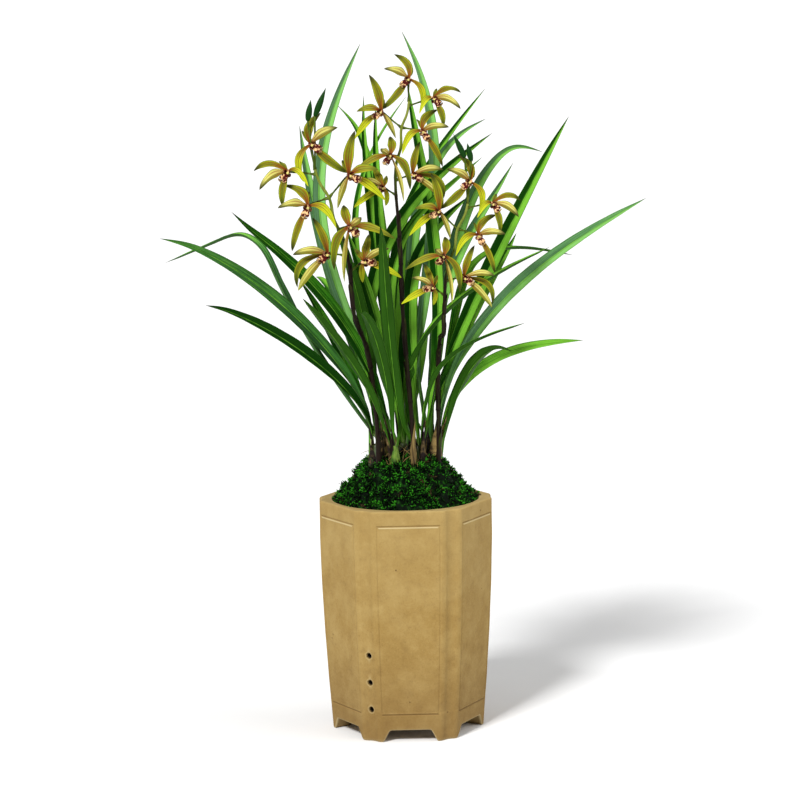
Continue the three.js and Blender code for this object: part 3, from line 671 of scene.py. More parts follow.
def add_underside_rows(wall, pot):
    """Out under the floor, down the inside of the ring of feet and out over what they stand on."""
    for radius in (13, 36, 58):
        wall.add(wall.circle * radius * MM, pot.foot_recess)
    for q in (0.0, 0.25, 0.6, 0.92):
        points = wall.circle * (FOOT_RING_INSIDE - 1.6 * MM * (1 - q))
        wall.add(points, pot.foot_recess + (foot_height(pot, points) - pot.foot_recess) * q)
    inner, outer = wall.circle * (FOOT_RING_INSIDE + 0.8 * MM), wall.outline * (belly(pot, 0) - 0.02)
    for q in (0.0, 0.3, 0.65, 0.92):
        points = inner * (1 - q) + outer * q
        wall.add(points, foot_height(pot, points), 0.2)


def make_pot(pot):
    """The whole pot is one closed grid: round it runs the outline, and across it a profile that goes up
    the outside, over the rim, down the inside, through the drain hole and back out under the feet.  It
    strays inwards by uneven * |sin(61 height + 3 cos 2 turn) * cos(3 turn + 0.7)|."""
    wall = PotRows(pot)
    for add_rows in (add_foot_rows, add_wall_rows, add_rim_rows, add_inside_rows, add_underside_rows):
        add_rows(wall, pot)
    grid = np.array(wall.rows)
    body, height = grid[..., :3], grid[..., 2]
    stray = UNEVEN * np.sin(height * 61 + np.cos(wall.turn * 2) * 3) * np.cos(wall.turn * 3 + 0.7)
    body[..., :2] -= wall.circle * np.abs(stray)[..., None]
    shell = Shell()
    shell.add_rings(body, (np.broadcast_to(wall.turn, height.shape), height), closed_end=False,
                    wear=grid[..., 3], groove=grid[..., 4], hole=grid[..., 5])
    shell.piece("pot_body", stoneware(pot), "stoneware", ["pot"])


# ------------------------------------------------------------------------- stones, growing mix and moss

MOSS_PROFILE = np.array([
    [0.6, 296], [14, 295.6], [28, 293.6], [38, 291.0], [46, 284.5], [55, 272.5], [64, 262], [72, 253],
    [78, 246.6], [78.2, 243], [77.6, 238], [60, 255], [40, 277], [0.6, 278],
]) * MM                           # radius and height, over the top and back under it
MOSS_SEEN = 9                     # points of the profile, from the first, that are its upper side
MOSS_BED_RINGS = np.linspace(0.6, 77.6, 96) * MM
MOSS_BED_SIDES = 260
MOSS_REACH = 77 * MM              # the tufts stand inside this radius
MOSS_CALM = (79 * MM, 66 * MM)    # the lumps are at their lowest at the first radius, full at the second
LUMP = 2.4 * MM
COARSE_LUMPS = 42                 # to the metre
FINE_LUMPS = 130
TUFTS = 1500
TUFT_TIPS = 13
TIP_LONG = (2.6, 6.0)             # millimetres, before a tuft's own size
TIP_WIDE = (0.5, 1.15)
# a tip's points are its root, three round its widest part and its point
TIP_FACES = np.array([[0, 2, 1], [0, 3, 2], [0, 1, 3], [4, 1, 2], [4, 2, 3], [4, 3, 1]])
# painted shade: dark at a tip's root, lighter towards its point
TIP_SHADES = np.array([0.0, 0.6, 0.6, 0.6, 1.0])
HUMMOCK = 7 * MM                  # of moss, before the foot of each flower stem
HUMMOCK_REACH = 13 * MM
HUMMOCK_AHEAD = 6 * MM
# for each filling: its finish's name, its light and dark colours, the dark also the painted shade between
# grains, and its grains to the metre
FILLINGS = {
    "drainage_stones": ("lava_stones", (0.30, 0.25, 0.21), (0.05, 0.035, 0.03), 90),
    "growing_mix": ("bark_and_grit", (0.16, 0.085, 0.04), (0.012, 0.008, 0.006), 160),
}


def make_fillings():
    """The stones and the growing mix keep their CAD shape and get a finish of their own: cells between
    the light and the dark colour, sunk where two cells meet and dark there with painted shade."""
    for node, (name, light, dark, grains) in FILLINGS.items():
        finish = Finish(name, roughness=0.9, specular=0.2)
        place = finish.place()
        cell = finish.cells(place, grains)
        shade = finish.part_of(finish.cells(place, grains, "Color"), 1)
        tint = finish.mix(shade, dark, light)
        # painted shade in the gaps between grains
        finish.colour(finish.mix(finish.ramp(cell, 0.3, 0.75), tint, dark))
        finish.bump(finish.number("SUBTRACT", 1.0, cell), 3 * MM)
        finish.bump(finish.noise(place, 500, 4), 0.5 * MM)
        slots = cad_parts[node].data.materials
        slots.clear()
        slots.append(finish.material)


def lumps(points, scale, seed):
    """A smooth bumpy number from about -1 to 1 at each point: a third of the sum of eight sine waves
    that run in random directions, with wavelengths about 1 / scale."""
    random = np.random.default_rng(seed)
    ways = unit(random.normal(size=(8, 3))) * scale * random.uniform(0.7, 1.6, (8, 1)) * 2 * math.pi
    return np.sin(points @ ways.T + random.uniform(0, 2 * math.pi, 8)).sum(axis=-1) / 3


def moss_finish(pot):
    """Mark "shade" goes from 0, nearly black with painted shade, to 1, green, and past it to a few pale tips
    with painted light, and mark "dry" to brown."""
    moss = Finish("moss", roughness=0.6, specular=0.05)
    place = moss.place()
    fine = moss.noise(place, 900, 4, 0.7)
    shade = moss.mark("shade")
    tint = moss.mix(moss.ramp(shade, 0.15, 0.85), pot.moss_dark, pot.moss_bright)
    tint = moss.mix(moss.ramp(shade, 0.95, 1.25, 0, 0.55), tint, pot.moss_lit)
    tint = moss.mix(moss.ramp(fine, 0.35, 0.8, 0, 0.4), tint, pot.moss_dark)
    tint = moss.mix(moss.ramp(moss.mark("dry"), 0.3, 0.8), tint, pot.moss_brown)
    moss.colour(tint)
    moss.bump(fine, 0.6 * MM)
    return moss.material


def moss_top(radius, turn):
    """Point and outward direction on the mound at a radius and a turn: the profile's height, raised by
    two sets of lumps that calm down at the rim, and by a hummock
    height * exp(-(distance / reach)^2) before the foot of each flower stem."""
    profile = MOSS_PROFILE[:MOSS_SEEN]
    height = np.interp(radius, profile[:, 0], profile[:, 1])
    points = np.stack([radius * np.cos(turn), radius * np.sin(turn), height], axis=-1)
    lumpy = 0.4 + 0.6 * smoothstep(*MOSS_CALM, radius)
    rise = lumpy * (LUMP * lumps(points, COARSE_LUMPS, 3) + 0.5 * LUMP * lumps(points, FINE_LUMPS, 4))
    for spike in SPIKES.values():
        away = points[..., :2] - planted([*spike["foot"], 0])[:2] + (0, HUMMOCK_AHEAD)
        rise = rise + HUMMOCK * np.exp(-(away ** 2).sum(axis=-1) / HUMMOCK_REACH ** 2)
    slope = np.interp(radius, profile[:, 0], np.gradient(profile[:, 1], profile[:, 0]))
    outward = unit(np.stack([-slope * np.cos(turn), -slope * np.sin(turn), np.ones_like(turn)], axis=-1))
    return points + outward * (rise - 1.2 * MM)[..., None], outward


def make_moss_bed(finish):
    """The lumpy mound that the tufts stand on, nearly black with the painted shade under them, closed
    underneath by the rest of the profile.
    """
    turn = np.linspace(0, 2 * math.pi, MOSS_BED_SIDES, endpoint=False)
    radius = MOSS_BED_RINGS[:, None]
    grid, _ = moss_top(radius * np.ones_like(turn), turn * np.ones_like(radius))
    ring = np.stack([np.cos(turn), np.sin(turn)], axis=-1)
    under = [np.column_stack([ring * r, np.full(len(turn), z)]) for r, z in MOSS_PROFILE[MOSS_SEEN:]]
    grid = np.concatenate([grid, under])
    shell = Shell()
    shell.add_rings(grid, (grid[..., 0], grid[..., 1]), shade=0.15 + 0.15 * lumps(grid, 160, 8), dry=0.0)
    shell.piece("moss_bed", finish, "moss", ["moss_cushion"])


def make_moss(pot):
    """The bed, and tufts of leafy tips that fan out over it: each tip is a bipyramid of six faces,
    nearly black with painted shade where it leaves its tuft and green at its point."""
    finish = moss_finish(pot)
    make_moss_bed(finish)
    random = np.random.default_rng(11)
    count = TUFTS * TUFT_TIPS
    reach = MOSS_REACH * np.sqrt(random.uniform(0, 1, TUFTS))
    roots, outward = moss_top(reach, random.uniform(0, 2 * math.pi, TUFTS))
    lean = unit(outward + random.normal(0, 0.35, (TUFTS, 3)))
    size = random.uniform(0.65, 1.35, TUFTS)
    # painted light and shade: tufts brighter on the tops of the coarse lumps and darker in their hollows, on
    # top of each tuft's random brightness
    bright = random.uniform(0.1, 1, TUFTS) ** 1.3 + 0.12 * lumps(roots, COARSE_LUMPS, 3)

    tuft = np.repeat(np.arange(TUFTS), TUFT_TIPS)
    axis = unit(lean[tuft] + random.normal(0, 0.7, (count, 3)))
    aside = unit(np.cross(axis, random.normal(size=(count, 3))))
    across = np.cross(axis, aside)
    long = (random.uniform(*TIP_LONG, count) * size[tuft])[:, None] * MM
    wide = (random.uniform(*TIP_WIDE, count) * size[tuft])[:, None] * MM
    start = roots[tuft] + random.normal(0, 0.8 * MM, (count, 3)) - outward[tuft] * 1.0 * MM
    waist = [start + axis * long * 0.62 + (aside * math.cos(a) + across * math.sin(a) * 0.5) * wide
             for a in (0, 2.1, 4.2)]
    corners = np.stack([start, *waist, start + axis * long], axis=1)
    light = np.clip(bright[tuft] + random.normal(0, 0.22, count), 0.02, 1.25)
    dry = (random.uniform(0, 1, TUFTS) > 0.95)[tuft].astype(float)
    faces = np.arange(count)[:, None, None] * len(TIP_SHADES) + TIP_FACES
    tips = Shell()
    tips.take(
        corners.reshape(-1, 3), np.zeros((corners.size // 3, 2)),
        {"shade": (light[:, None] * TIP_SHADES).ravel(), "dry": np.repeat(dry, len(TIP_SHADES))},
        np.zeros((0, 4), int), faces.reshape(-1, 3))
    tips.piece("moss_tips", finish, "moss")


# ------------------------------------------------------------------------------------------- leaves

# How pale (1) or dark (-1) some leaves are, with painted light on the top leaves and painted shade on those
# inside and behind the clump, and how much bluish painted sheen they have.
LEAF_TONES_LIGHT_AND_SHADE = {
    "top_left": 1.0, "top_middle": 0.95, "upper_right_broad": 0.8, "left_tall": 0.9,
    "left_front_short": 0.45, "right_arch": 0.35, "upper_right_low": 0.35, "right_tall": 0.1,
    "left_long": 0.15, "left_wide": 0.1, "left_low": 0.2, "right_long": 0.15, "upper_left_dark": -0.8,
    "right_dark": -0.7, "crossing_arch": -0.25, "back_upright": -0.7, "front_middle": -0.5,
    "upper_left_narrow": -0.6, "back_leaning": -0.6, "right_edge_on": -0.1, "left_back": -0.3,
    "back_right": -0.3, "top_middle_low": 0.15, "front_leaning": -0.2, "front_left": -0.1,
}
# how much bluish painted sheen, a painted reflection, some leaves carry
LEAF_PAINTED_SHEEN = {
    "right_long": 0.4, "right_arch": 0.25, "right_arch_inner": 0.25, "left_long": 0.1, "top_left": 0.45,
    "top_middle": 0.4, "upper_right_broad": 0.3, "left_tall": 0.35, "left_drooping": 0.15,
}
LEAF_POINTS = 110                 # rings along a leaf's CAD length
LEAF_POINT_HALF = 0.12 * MM       # half width of a leaf's point
LEAF_WIDTHS = ((0, 0.15, 0.3, 0.55), (0.52, 0.64, 0.82, 1))   # shares of the CAD width, along the leaf
LEAF_FOLDS = ((0, 0.45, 1), (1.0, 0.75, 0.6))   # rise of the edges per half width, along the leaf
CAD_FOLD = 0.3
PAINTED_LIGHT_FROM = np.array([-0.72, -0.40, 0.57])   # where the light comes from, for the painted light and painted shade on the leaf halves
BASE_RINGS = 12                   # that carry a leaf down into the moss, and the step between them
BASE_STEP = 2.2 * MM
VEINS = 9                         # parallel veins across a leaf
CREAMY_SIDE = -20 * MM            # left of this, the leaves' feet are cream at the margins


def leaf_rings(node):
    """Middle line, upward direction and half width of a leaf, recovered from its CAD blade.

    The blade's loose triangles are merged, and the number of edges between any two points is counted.
    The two points that lie furthest apart are the middles of its ends, and the points at 1, 2, 3 ...
    edges from the lower one are its rings of four: two edges, the furthest apart, and the midrib's two."""
    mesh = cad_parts[node].data
    loose = np.empty(len(mesh.vertices) * 3, np.float32)
    mesh.vertices.foreach_get("co", loose)
    corners = np.empty(len(mesh.loops), np.int32)
    mesh.loops.foreach_get("vertex_index", corners)
    points, index = np.unique(np.round(loose.reshape(-1, 3), 6), axis=0, return_inverse=True)
    triangles = index.reshape(-1)[corners].reshape(-1, 3)
    linked = np.eye(len(points), dtype=bool)
    for a, b in ((0, 1), (1, 2), (2, 0)):
        linked[triangles[:, a], triangles[:, b]] = True
        linked[triangles[:, b], triangles[:, a]] = True
    steps = np.zeros(linked.shape, int)
    reached = np.eye(len(points), dtype=bool)
    while not reached.all():
        steps += ~reached
        reached = (reached.astype(int) @ linked.astype(int)) > 0
    ends = np.array(np.unravel_index(np.argmax(steps), steps.shape))
    base = ends[np.argmin(points[ends, 2])]
    rings = [points[steps[base] == k + 1] for k in range(steps[base].max() - 1)]
    if any(len(ring) != 4 for ring in rings):
        raise RuntimeError(f"{node} isn't a four-sided blade")
    middles, raised, halves, sides = [], [], [], []
    for ring in rings[:-1]:
        apart = np.linalg.norm(ring[:, None] - ring[None], axis=-1)
        edges = np.array(np.unravel_index(np.argmax(apart), apart.shape))
        rest = np.setdiff1d(np.arange(4), edges)
        middles.append(ring[rest].mean(axis=0))
        raised.append(ring[edges].mean(axis=0) - ring[rest].mean(axis=0))
        halves.append(apart.max() / 2)
        sides.append(ring[edges[0]] - ring[edges[1]])
    middles = np.array([*middles, rings[-1].mean(axis=0)])
    tangent = unit(np.gradient(middles, axis=0))
    up = unit(np.array([*raised, raised[-1]]))
    side = unit(np.array([*sides, sides[-1]]))
    side *= np.sign((np.cross(tangent, up) * side).sum(axis=1))[:, None]
    normal = unit(np.cross(side, tangent))
    return middles, normal, np.array([*halves, LEAF_POINT_HALF])


def leaf_finish(plant):
    """Greens in long streaks between fine parallel veins, with painted light on the half that faces the light
    and painted shade on the half turned away, a pale midrib that comes and goes with painted shade in the
    groove beside it, pale margins with a dark line inside them, a cream foot and a dry point.  Mark "tone"
    goes from -1, dark, to 1, pale: painted shade on the leaves inside the clump, painted light on the top
    ones, and each leaf's own paleness.  Mark "bloom" from 0 to 1 gives a bluish painted sheen."""
    leaf = Finish("leaf", roughness=0.42, specular=0.025)
    grain = leaf.grain_uv()
    along, across = leaf.part_of(grain, 0), leaf.number("SUBTRACT", leaf.part_of(grain, 1), 0.5)
    away = leaf.number("MULTIPLY", leaf.number("ABSOLUTE", across), 2.0)
    share_along, tone, bloom = leaf.mark("along"), leaf.mark("tone"), leaf.mark("bloom")
    veins = leaf.number("SINE", leaf.number("MULTIPLY", across, 2 * math.pi * VEINS))
    threads = leaf.noise(leaf.stretch(grain, (1.2, 14, 1)), 1, 4, 0.6)
    fine = leaf.noise(leaf.stretch(grain, (3, 55, 1)), 1, 3, 0.6)
    clouds = leaf.noise(leaf.stretch(grain, (4, 2.0, 1)), 1, 3)
    # the tone mark: painted shade on the leaves inside and behind the clump, painted light on the top leaves,
    # and each leaf's own paleness
    tint = leaf.mix(leaf.ramp(tone, 0, -1), plant.leaf_green, plant.leaf_dark)
    tint = leaf.mix(leaf.ramp(tone, 0, 1, 0, 0.85), tint, plant.leaf_pale_and_lit)
    tint = leaf.mix(leaf.ramp(clouds, 0.45, 0.75, 0, 0.35), tint, plant.leaf_pale_and_lit)
    tint = leaf.mix(leaf.ramp(clouds, 0.5, 0.2, 0, 0.6), tint, plant.leaf_dark)
    tint = leaf.mix(leaf.ramp(threads, 0.45, 0.7, 0, 0.75), tint, plant.leaf_dark)
    tint = leaf.mix(leaf.ramp(threads, 0.45, 0.25, 0, 0.5), tint, plant.leaf_pale_and_lit)
    tint = leaf.mix(leaf.ramp(fine, 0.5, 0.75, 0, 0.5), tint, plant.leaf_dark)
    tint = leaf.mix(leaf.ramp(veins, 0.3, 1, 0, 0.28), tint, plant.leaf_dark)
    # painted light on the half of each leaf that faces the light, painted shade on the half turned away and
    # on the lower face
    skyward = leaf.number("ADD", leaf.mark("skyward"), leaf.ramp(threads, 0.3, 0.7, 0.15, -0.15))
    tint = leaf.mix(leaf.ramp(skyward, 0.5, 0.08, 0, 0.95), tint, plant.leaf_dark)
    tint = leaf.mix(leaf.ramp(skyward, 0.42, 0.75, 0, 0.88), tint, plant.leaf_pale_and_lit)
    # painted sheen: a bluish painted reflection in streaks along the leaf
    bluish = leaf.number("MULTIPLY", bloom, leaf.ramp(threads, 0.7, 0.3, 0.45, 1))
    tint = leaf.mix(bluish, tint, plant.leaf_sheen_blue)
    under = leaf.number("SUBTRACT", 1.0, leaf.mark("upper"))
    tint = leaf.mix(leaf.number("MULTIPLY", under, 0.1), tint, plant.leaf_pale_and_lit)
    rib = leaf.number("MULTIPLY", leaf.ramp(away, 0.09, 0.02), leaf.ramp(clouds, 0.35, 0.6, 0.1, 0.7))
    # painted shade in the groove beside the midrib
    tint = leaf.mix(leaf.number("MULTIPLY", leaf.ramp(away, 0.25, 0.1), 0.4), tint, plant.leaf_dark)
    tint = leaf.mix(rib, tint, plant.leaf_pale_and_lit)
    tint = leaf.mix(leaf.ramp(away, 0.8, 0.93, 0, 0.45), tint, plant.leaf_dark)
    tint = leaf.mix(leaf.ramp(away, 0.95, 0.99, 0, 0.6), tint, plant.leaf_pale_and_lit)
    foot = leaf.number("ADD", share_along, leaf.number("MULTIPLY", fine, 0.1))
    tint = leaf.mix(leaf.ramp(foot, 0.16, 0.06, 0, 0.2), tint, plant.leaf_pale_and_lit)
    cream = leaf.number("MULTIPLY", leaf.ramp(foot, 0.09, 0.045), leaf.ramp(away, 0.6, 0.9))
    cream = leaf.number("MULTIPLY", cream, leaf.mark("creamy"))
    tint = leaf.mix(cream, tint, plant.leaf_foot)
    tint = leaf.mix(leaf.ramp(foot, 1.02, 1.05, 0, 0.85), tint, plant.bark)
    leaf.colour(tint)
    leaf.roughness(leaf.ramp(clouds, 0.3, 0.7, 0.36, 0.52))
    leaf.bump(veins, 0.08 * MM)
    leaf.bump(threads, 0.25 * MM)
    leaf.bump(leaf.noise(leaf.stretch(along, (1, 1, 1)), 9, 2), 0.6 * MM, 0.4)
    return leaf.material


def sheath_finish(plant):
    """Dry papery sheaths: dry goes from 0, green, through straw to 1, dark brown."""
    sheath = Finish("dry_sheath", roughness=0.62, specular=0.15)
    grain = sheath.grain_uv()
    threads = sheath.noise(sheath.stretch(grain, (2, 26, 1)), 1, 4, 0.65)
    patches = sheath.noise(sheath.place(), 130, 4)
    dry = sheath.number("ADD", sheath.mark("dry"), sheath.ramp(patches, 0.3, 0.7, -0.16, 0.16))
    tint = sheath.mix(sheath.ramp(dry, 0.1, 0.4), plant.leaf_pale_and_lit, plant.straw)
    tint = sheath.mix(sheath.ramp(dry, 0.5, 0.85), tint, plant.bark)
    tint = sheath.mix(sheath.ramp(threads, 0.45, 0.75, 0, 0.6), tint, plant.bark)
    sheath.colour(tint)
    sheath.bump(threads, 0.35 * MM)
    return sheath.material


def leaf_line(node):
    """A leaf's path, upward direction, half width and share of its length: the spline of its CAD rings,
    after straight rings that carry it down halfway between its own direction and the upright."""
    middles, normals, halves = leaf_rings(node)
    rows = spline(np.column_stack([middles, normals, halves]), LEAF_POINTS)
    path, facing, half = rows[:, :3], unit(rows[:, 3:6]), np.maximum(rows[:, 6], 0.1 * MM)
    down = np.arange(BASE_RINGS, 0, -1)[:, None] * BASE_STEP
    path = np.concatenate([path[0] - (unit(path[1] - path[0]) + UP) / 2 * down, path])
    facing = np.concatenate([np.repeat(facing[:1], BASE_RINGS, axis=0), facing])
    along = np.concatenate([np.zeros(BASE_RINGS), np.linspace(0, 1, LEAF_POINTS)])
    half = np.concatenate([np.full(BASE_RINGS, half[0]), half]) * np.interp(along, *LEAF_WIDTHS)
    return path, facing, half, along


def add_leaf_sheath(sheaths, random, number, path, facing, half, fold, metres):
    """A dry sheath that hugs a leaf's foot from below: a blade 1.2 times as wide as the leaf, narrowing
    as 1 - part^3 to its point."""
    rings = int(np.searchsorted(metres, random.uniform(30, 66) * MM))
    part = np.linspace(0, 1, rings)
    normal, _ = frame_along(path[:rings], facing[:rings])
    cut = path[:rings] - normal * (0.8 * MM + half[:rings, None] * 0.12)
    width = half[:rings] * 1.2 * (1 - part ** 3) + 0.2 * MM
    grid, t, _ = blade(cut, facing[:rings], width, fold[:rings] * 1.1, 0.35 * MM, cup=0.25)
    sheaths.add_rings(grid, (part[:, None] * rings / 20 + number, (t + 1) / 2),
                      dry=random.uniform(0.6, 1.1))


def make_leaves(plant):
    """Each leaf is a folded blade on the spline of its CAD rings, with a groove above its midrib and
    a keel under it, wavy edges, and a foot that runs down into the shoot.  Its path is lowered so that
    the deeper fold keeps the blade's middle height where the CAD blade has it.

    Mark "skyward" is how squarely a point looked at the light, from -1 to 1, and 0.35 less below: it sets the
    painted light and painted shade on the leaf halves."""
    finish, papery = leaf_finish(plant), sheath_finish(plant)
    nodes = sorted(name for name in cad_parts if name.startswith("leaf_"))
    sheaths = Shell()
    for number, node in enumerate(nodes):
        name = node.removeprefix("leaf_")
        random = np.random.default_rng(100 + number)
        path, facing, half, along = leaf_line(node)
        fold = np.interp(along, *LEAF_FOLDS)
        metres = np.concatenate([[0], np.cumsum(np.linalg.norm(np.diff(path, axis=0), axis=1))])
        path = path - facing * ((fold - CAD_FOLD) * half / 2)[:, None]
        waves = random.uniform(60, 95) * metres + random.uniform(0, 6)
        wave = 0.035 * half * (np.sin(waves) + 0.6 * np.sin(2.7 * waves)) * smoothstep(0.1, 0.4, along)
        grid, t, upper = blade(path, facing, half, fold, plant.leaf_thickness, keel=0.35 * MM, sides=13,
                               wave=wave)
        normal, sideways = frame_along(path, facing)
        # painted light and shade: how squarely each point faces the light, less on the lower face
        looks = unit(normal[:, None] - sideways[:, None] * (fold[:, None] * np.tanh(t * 9))[..., None])
        skyward = (looks * PAINTED_LIGHT_FROM).sum(axis=-1) * (2 * upper - 1) - 0.35 * (1 - upper)
        shell = Shell()
        shell.add_rings(
            grid, ((metres * 10 + number)[:, None], (t + 1) / 2), along=along[:, None], upper=upper,
            tone=LEAF_TONES_LIGHT_AND_SHADE.get(name, random.uniform(-0.3, 0.15)), bloom=LEAF_PAINTED_SHEEN.get(name, 0),
            skyward=skyward, creamy=0.85 if path[0, 0] < CREAMY_SIDE else 0.25)
        shell.piece(f"{name}_blade", finish, "leaf", [node])
        if number % 2 == 0:
            add_leaf_sheath(sheaths, random, number, path, facing, half, fold, metres)
    sheaths.piece("leaf_sheaths", papery, "leaf")


# ------------------------------------------------------------------------------------------- shoots

SHOOTS = sorted(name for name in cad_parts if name.startswith("pseudobulb_"))
# radius and height over the shoot's foot, from the buried end to the neck that holds the leaves
BULB_PROFILE = np.array([
    [0.5, 0.3], [6, 1.5], [8.5, 6], [9, 12], [8, 18], [6.5, 23], [5, 28], [3.4, 31.5], [0.5, 32.5],
]) * MM
WRAPS = 3                         # dry sheaths round each shoot
WRAP_RADII = ((0, 0.25, 0.6, 1), (9.0, 8.0, 5.6, 4.4))   # millimetres, up a sheath
WRAP_DRYNESS = (0.62, 0.85, 0.95, 1.0)
GREEN_BULB = "pseudobulb_middle_front"   # the one that shows bare, with no dry sheaths
GREEN_BULB_SIZE = (0.62, 1.05)    # its radius and height, as shares of the others'
FIBRES = 120


def bulb_finish(plant):
    """Mottled green with darker ribs, covered by dark brown skin where mark "old" is 1."""
    bulb = Finish("pseudobulb", roughness=0.45, specular=0.25)
    place = bulb.place()
    ribs = bulb.noise(bulb.place((300, 300, 12)), 1, 3)
    patches = bulb.noise(place, 90, 4)
    tint = bulb.mix(bulb.ramp(patches, 0.4, 0.62, 0, 0.85), plant.bulb_green, plant.leaf_dark)
    tint = bulb.mix(bulb.ramp(ribs, 0.45, 0.75, 0, 0.7), tint, plant.leaf_green)
    skin = bulb.number("MULTIPLY", bulb.mark("old"), bulb.ramp(ribs, 0.3, 0.6, 0.95, 0.75))
    tint = bulb.mix(skin, tint, plant.bark)
    bulb.colour(tint)
    bulb.bump(ribs, 0.5 * MM)
    return bulb.material


def add_wraps(wraps, random, number, foot):
    """Torn dry sheaths round a shoot: each is an arc of 60 degrees to either side, which narrows to
    a point as (1 - part^2.4)^0.8, leans out by 4 mm at its top, and has its rings shifted by a sine
    along the arc."""
    for layer in range(WRAPS):
        angle = 2.4 * layer + number * 1.1 + random.uniform(-0.3, 0.3)
        facing = np.array([math.cos(angle), math.sin(angle), 0])
        tall = random.uniform(16, 46) * MM
        part = np.linspace(0, 1, 26)
        path = foot + UP * (part * tall)[:, None] + facing * (4.0 * MM * part ** 2)[:, None]
        tight = np.interp(part, *WRAP_RADII) + 0.35 * layer
        open_to = np.radians(60) * (1 - part ** 2.4) ** 0.8 + 0.03
        grid, t = wrap(path, facing, tight * MM, open_to, 0.3 * MM)
        grid[..., 2] += 0.5 * MM * np.sin(t * 23 + layer) * part[:, None]
        wraps.add_rings(grid, (part[:, None] * 3 + layer, (t + 1) * 1.5),
                        dry=float(random.choice(WRAP_DRYNESS)))


def make_fibres(random, papery):
    """Loose dry fibres on the moss between the shoots: thin rods on arched splines."""
    fibres = Shell()
    for _ in range(FIBRES):
        angle, out = random.uniform(0, 2 * math.pi), random.uniform(6, 34) * MM
        start = np.array([out * math.cos(angle), out * math.sin(angle) - 4 * MM, MOSS_HIGH.z])
        way = unit(random.normal(size=3) * np.array([1, 1, 0.45]))
        span = random.uniform(8, 22) * MM
        middle = start + way * span / 2 + UP * random.uniform(0, 6) * MM
        end = start + way * span + UP * random.uniform(-2, 4) * MM
        path = spline([start - UP * 1.5 * MM, middle, end], 9)
        thin = random.uniform(0.25, 0.6) * MM * np.linspace(1, 0.3, 9)
        fibres.add_rings(rod(path, thin, 5, facing=np.array([0.3, 0.2, 1])), (0.0, 0.0),
                         dry=random.uniform(0.4, 0.9))
    fibres.piece("dry_fibres", papery, "pseudobulb")


def make_bulbs(plant):
    """Pseudobulbs of a turned profile with ribs, radius * (1 + 0.03 cos 9 turn + 0.02 cos 4 turn), each
    in a few torn dry sheaths, with loose fibres between them."""
    finish, papery = bulb_finish(plant), sheath_finish(plant)
    random = np.random.default_rng(5)
    wraps = Shell()
    turn = np.linspace(0, 2 * math.pi, 48, endpoint=False)
    rows = spline(np.column_stack([np.zeros(len(BULB_PROFILE)), BULB_PROFILE]), 40)
    radius, height = np.maximum(rows[:, 1], 0.3 * MM), rows[:, 2]
    for number, node in enumerate(SHOOTS):
        bare = node == GREEN_BULB
        broad, high = GREEN_BULB_SIZE if bare else (1, 1)
        low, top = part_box(node)
        foot = np.array([(low.x + top.x) / 2, (low.y + top.y) / 2, low.z])
        ribs = 1 + 0.03 * np.cos(turn * 9 + number) + 0.02 * np.cos(turn * 4 + 2 * number)
        reach = radius[:, None] * ribs * broad
        level = np.broadcast_to(height[:, None], reach.shape) * high
        grid = foot + np.stack([reach * np.cos(turn), reach * np.sin(turn), level], axis=-1)
        shell = Shell()
        shell.add_rings(grid, (turn, level), old=0.0 if bare else 1.0)
        shell.piece(f"{node.removeprefix('pseudobulb_')}_bulb", finish, "pseudobulb", [node])
        if not bare:
            add_wraps(wraps, random, number, foot + UP * 12 * MM)
    wraps.piece("bulb_sheaths", papery, "pseudobulb")
    make_fibres(random, papery)


# ------------------------------------------------------------------------------------------- flowers

